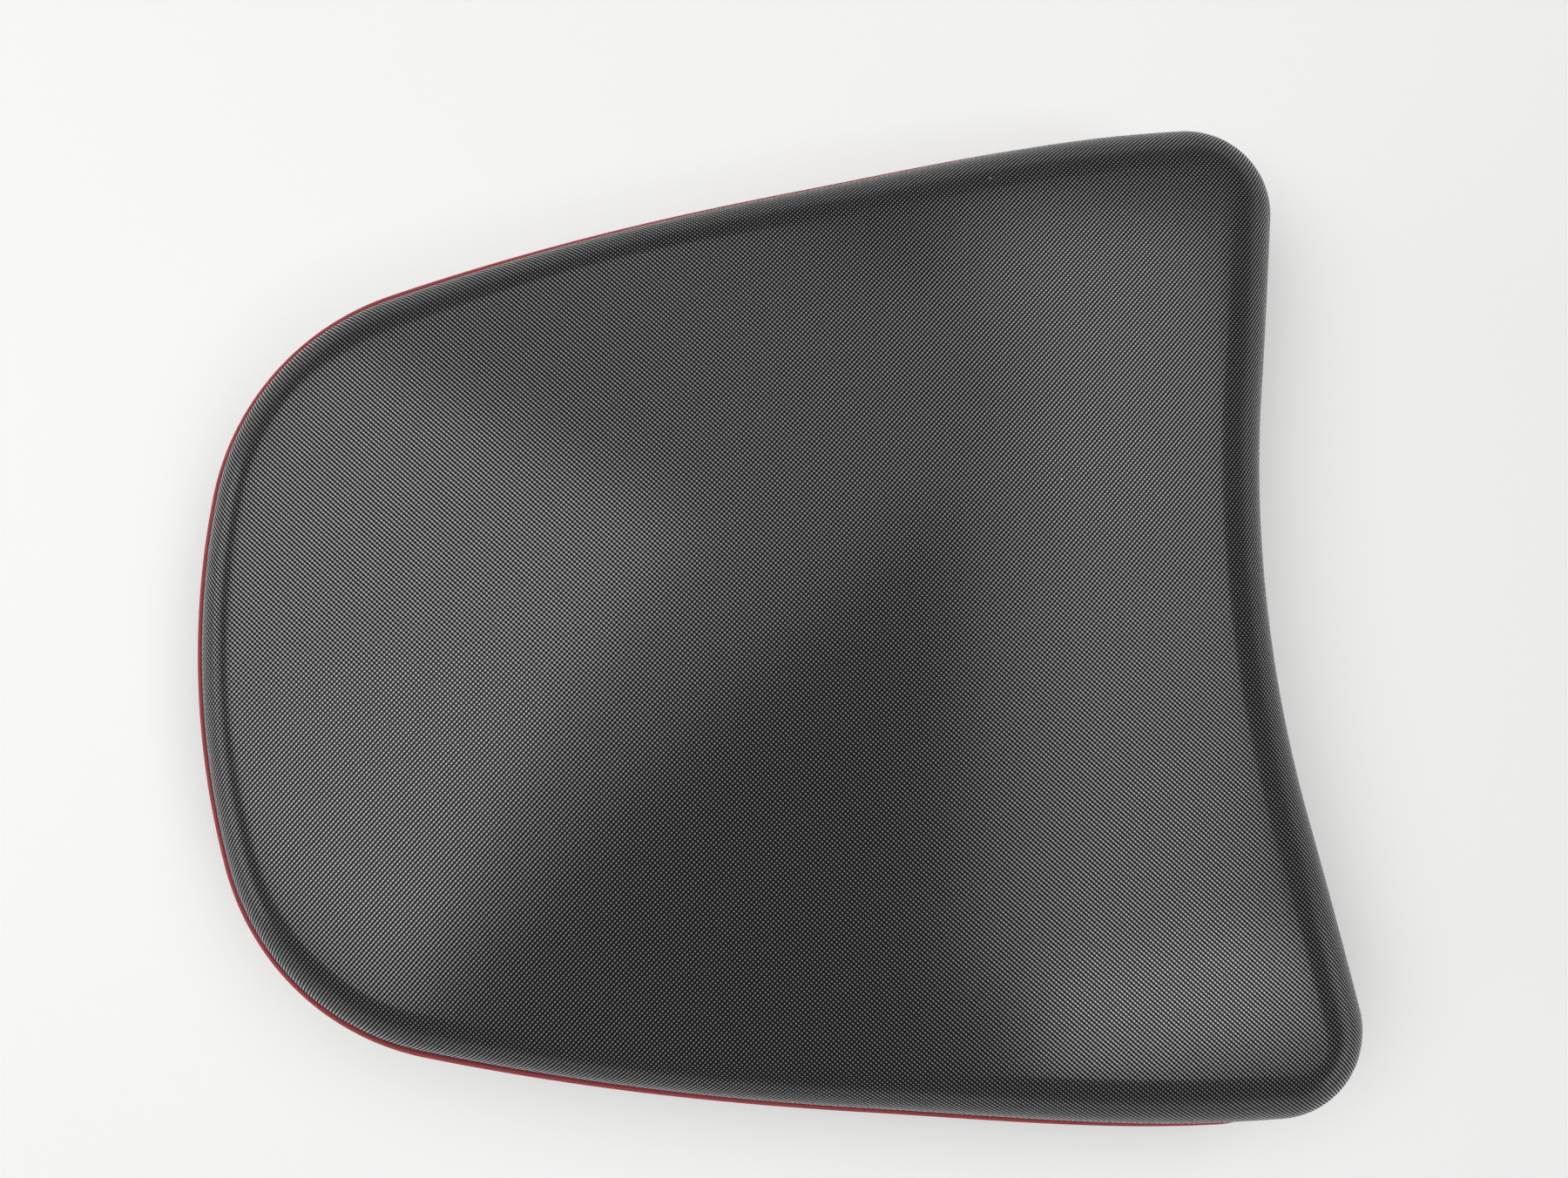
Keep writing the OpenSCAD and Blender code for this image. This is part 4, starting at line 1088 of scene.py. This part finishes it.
def floor_material():
    """A pale table top, clear from below so that the underside can be looked at."""
    f = Finish("table_top", Specular_IOR_Level=0.3)
    drift = noise_node(f.tree, f.place, 1.6, 3.0, 0.5)
    f.feed(Base_Color=f.blend(drift, (0.905, 0.90, 0.89), (0.935, 0.935, 0.93)),
           Roughness=f.span(drift, 0.0, 1.0, 0.45, 0.55))
    facing = add_node(f.tree, "ShaderNodeNewGeometry").outputs["Backfacing"]
    clear = add_node(f.tree, "ShaderNodeBsdfTransparent").outputs[0]
    either = add_node(f.tree, "ShaderNodeMixShader", facing, f.shader.outputs[0], clear)
    feed(f.tree, f.tree.nodes["Material Output"].inputs["Surface"], either.outputs[0])
    return f.material


def make_floor():
    corners = [(x * FLOOR_HALF, y * FLOOR_HALF, 0.0) for x, y in ((-1, -1), (1, -1), (1, 1), (-1, 1))]
    mesh = bpy.data.meshes.new("floor")
    mesh.from_pydata(corners, [], [(0, 1, 2, 3)])
    floor = link("floor", mesh)
    mesh.materials.append(floor_material())


def softbox(name, place, width, depth, tilt, turn, glow):
    """A panel that faces down at no tilt; glow is its radiance, where 1 is white."""
    data = bpy.data.lights.new(name, "AREA")
    data.shape = "RECTANGLE"
    data.size, data.size_y = width, depth
    data.energy = glow * math.pi * width * depth
    lamp = bpy.data.objects.new(name, data)
    lamp.location = place
    lamp.rotation_euler = (math.radians(tilt), 0.0, math.radians(turn))
    bpy.context.scene.collection.objects.link(lamp)


def make_world():
    """Faint even light; the eye and reflections see a pale wall that darkens upwards."""
    world = bpy.data.worlds.new("studio")
    world.use_nodes = True
    bpy.context.scene.world = world
    tree = world.node_tree
    rays = tree.nodes.new("ShaderNodeLightPath").outputs
    seen = math_node(tree, "ADD", rays["Is Camera Ray"], rays["Is Glossy Ray"], clamp=True)
    seen = math_node(tree, "ADD", seen, rays["Is Transmission Ray"], clamp=True)
    height = axes_of(tree, tree.nodes.new("ShaderNodeTexCoord").outputs["Generated"])["Z"]
    wall = range_node(tree, height, WALL_FOOT, WALL_TOP, WALL_TONE, WORLD_LIGHT, smooth_ends=True)
    plain = math_node(tree, "MULTIPLY", math_node(tree, "SUBTRACT", 1.0, seen), WORLD_LIGHT)
    back = tree.nodes["Background"].inputs
    back["Color"].default_value = (1.0, 1.0, 1.0, 1.0)
    feed(tree, back["Strength"], math_node(tree, "MULTIPLY_ADD", seen, wall, plain))


make_floor()
make_world()
# Each panel's name, place, width, depth, tilt and turn in degrees, and glow
for panel in (
    ("panel_middle", (-0.67, 0.44, 2.00), 1.60, 2.60, 0, -43.6, 1.40),
    ("panel_tail", (-1.36, 0.22, 1.96), 1.77, 1.94, 0, 56.5, 2.25),
    ("panel_front", (0.96, 0.24, 2.00), 0.92, 2.40, 0, -3.0, 2.0),
    ("panel_front_far", (1.06, 0.24, 2.02), 0.72, 2.40, 0, -3.0, 1.05),
    ("strip_side", (1.09, -1.11, 1.98), 0.97, 0.39, 0, 2.0, 4.7),
    ("window_tail", (-2.20, 0.00, 0.55), 2.00, 0.80, 90, -90, 1.7),
    ("window_front", (1.90, -1.10, 0.50), 1.40, 0.70, 90, 60, 0.8),
):
    softbox(*panel)
bpy.context.scene.view_settings.view_transform = "Standard"
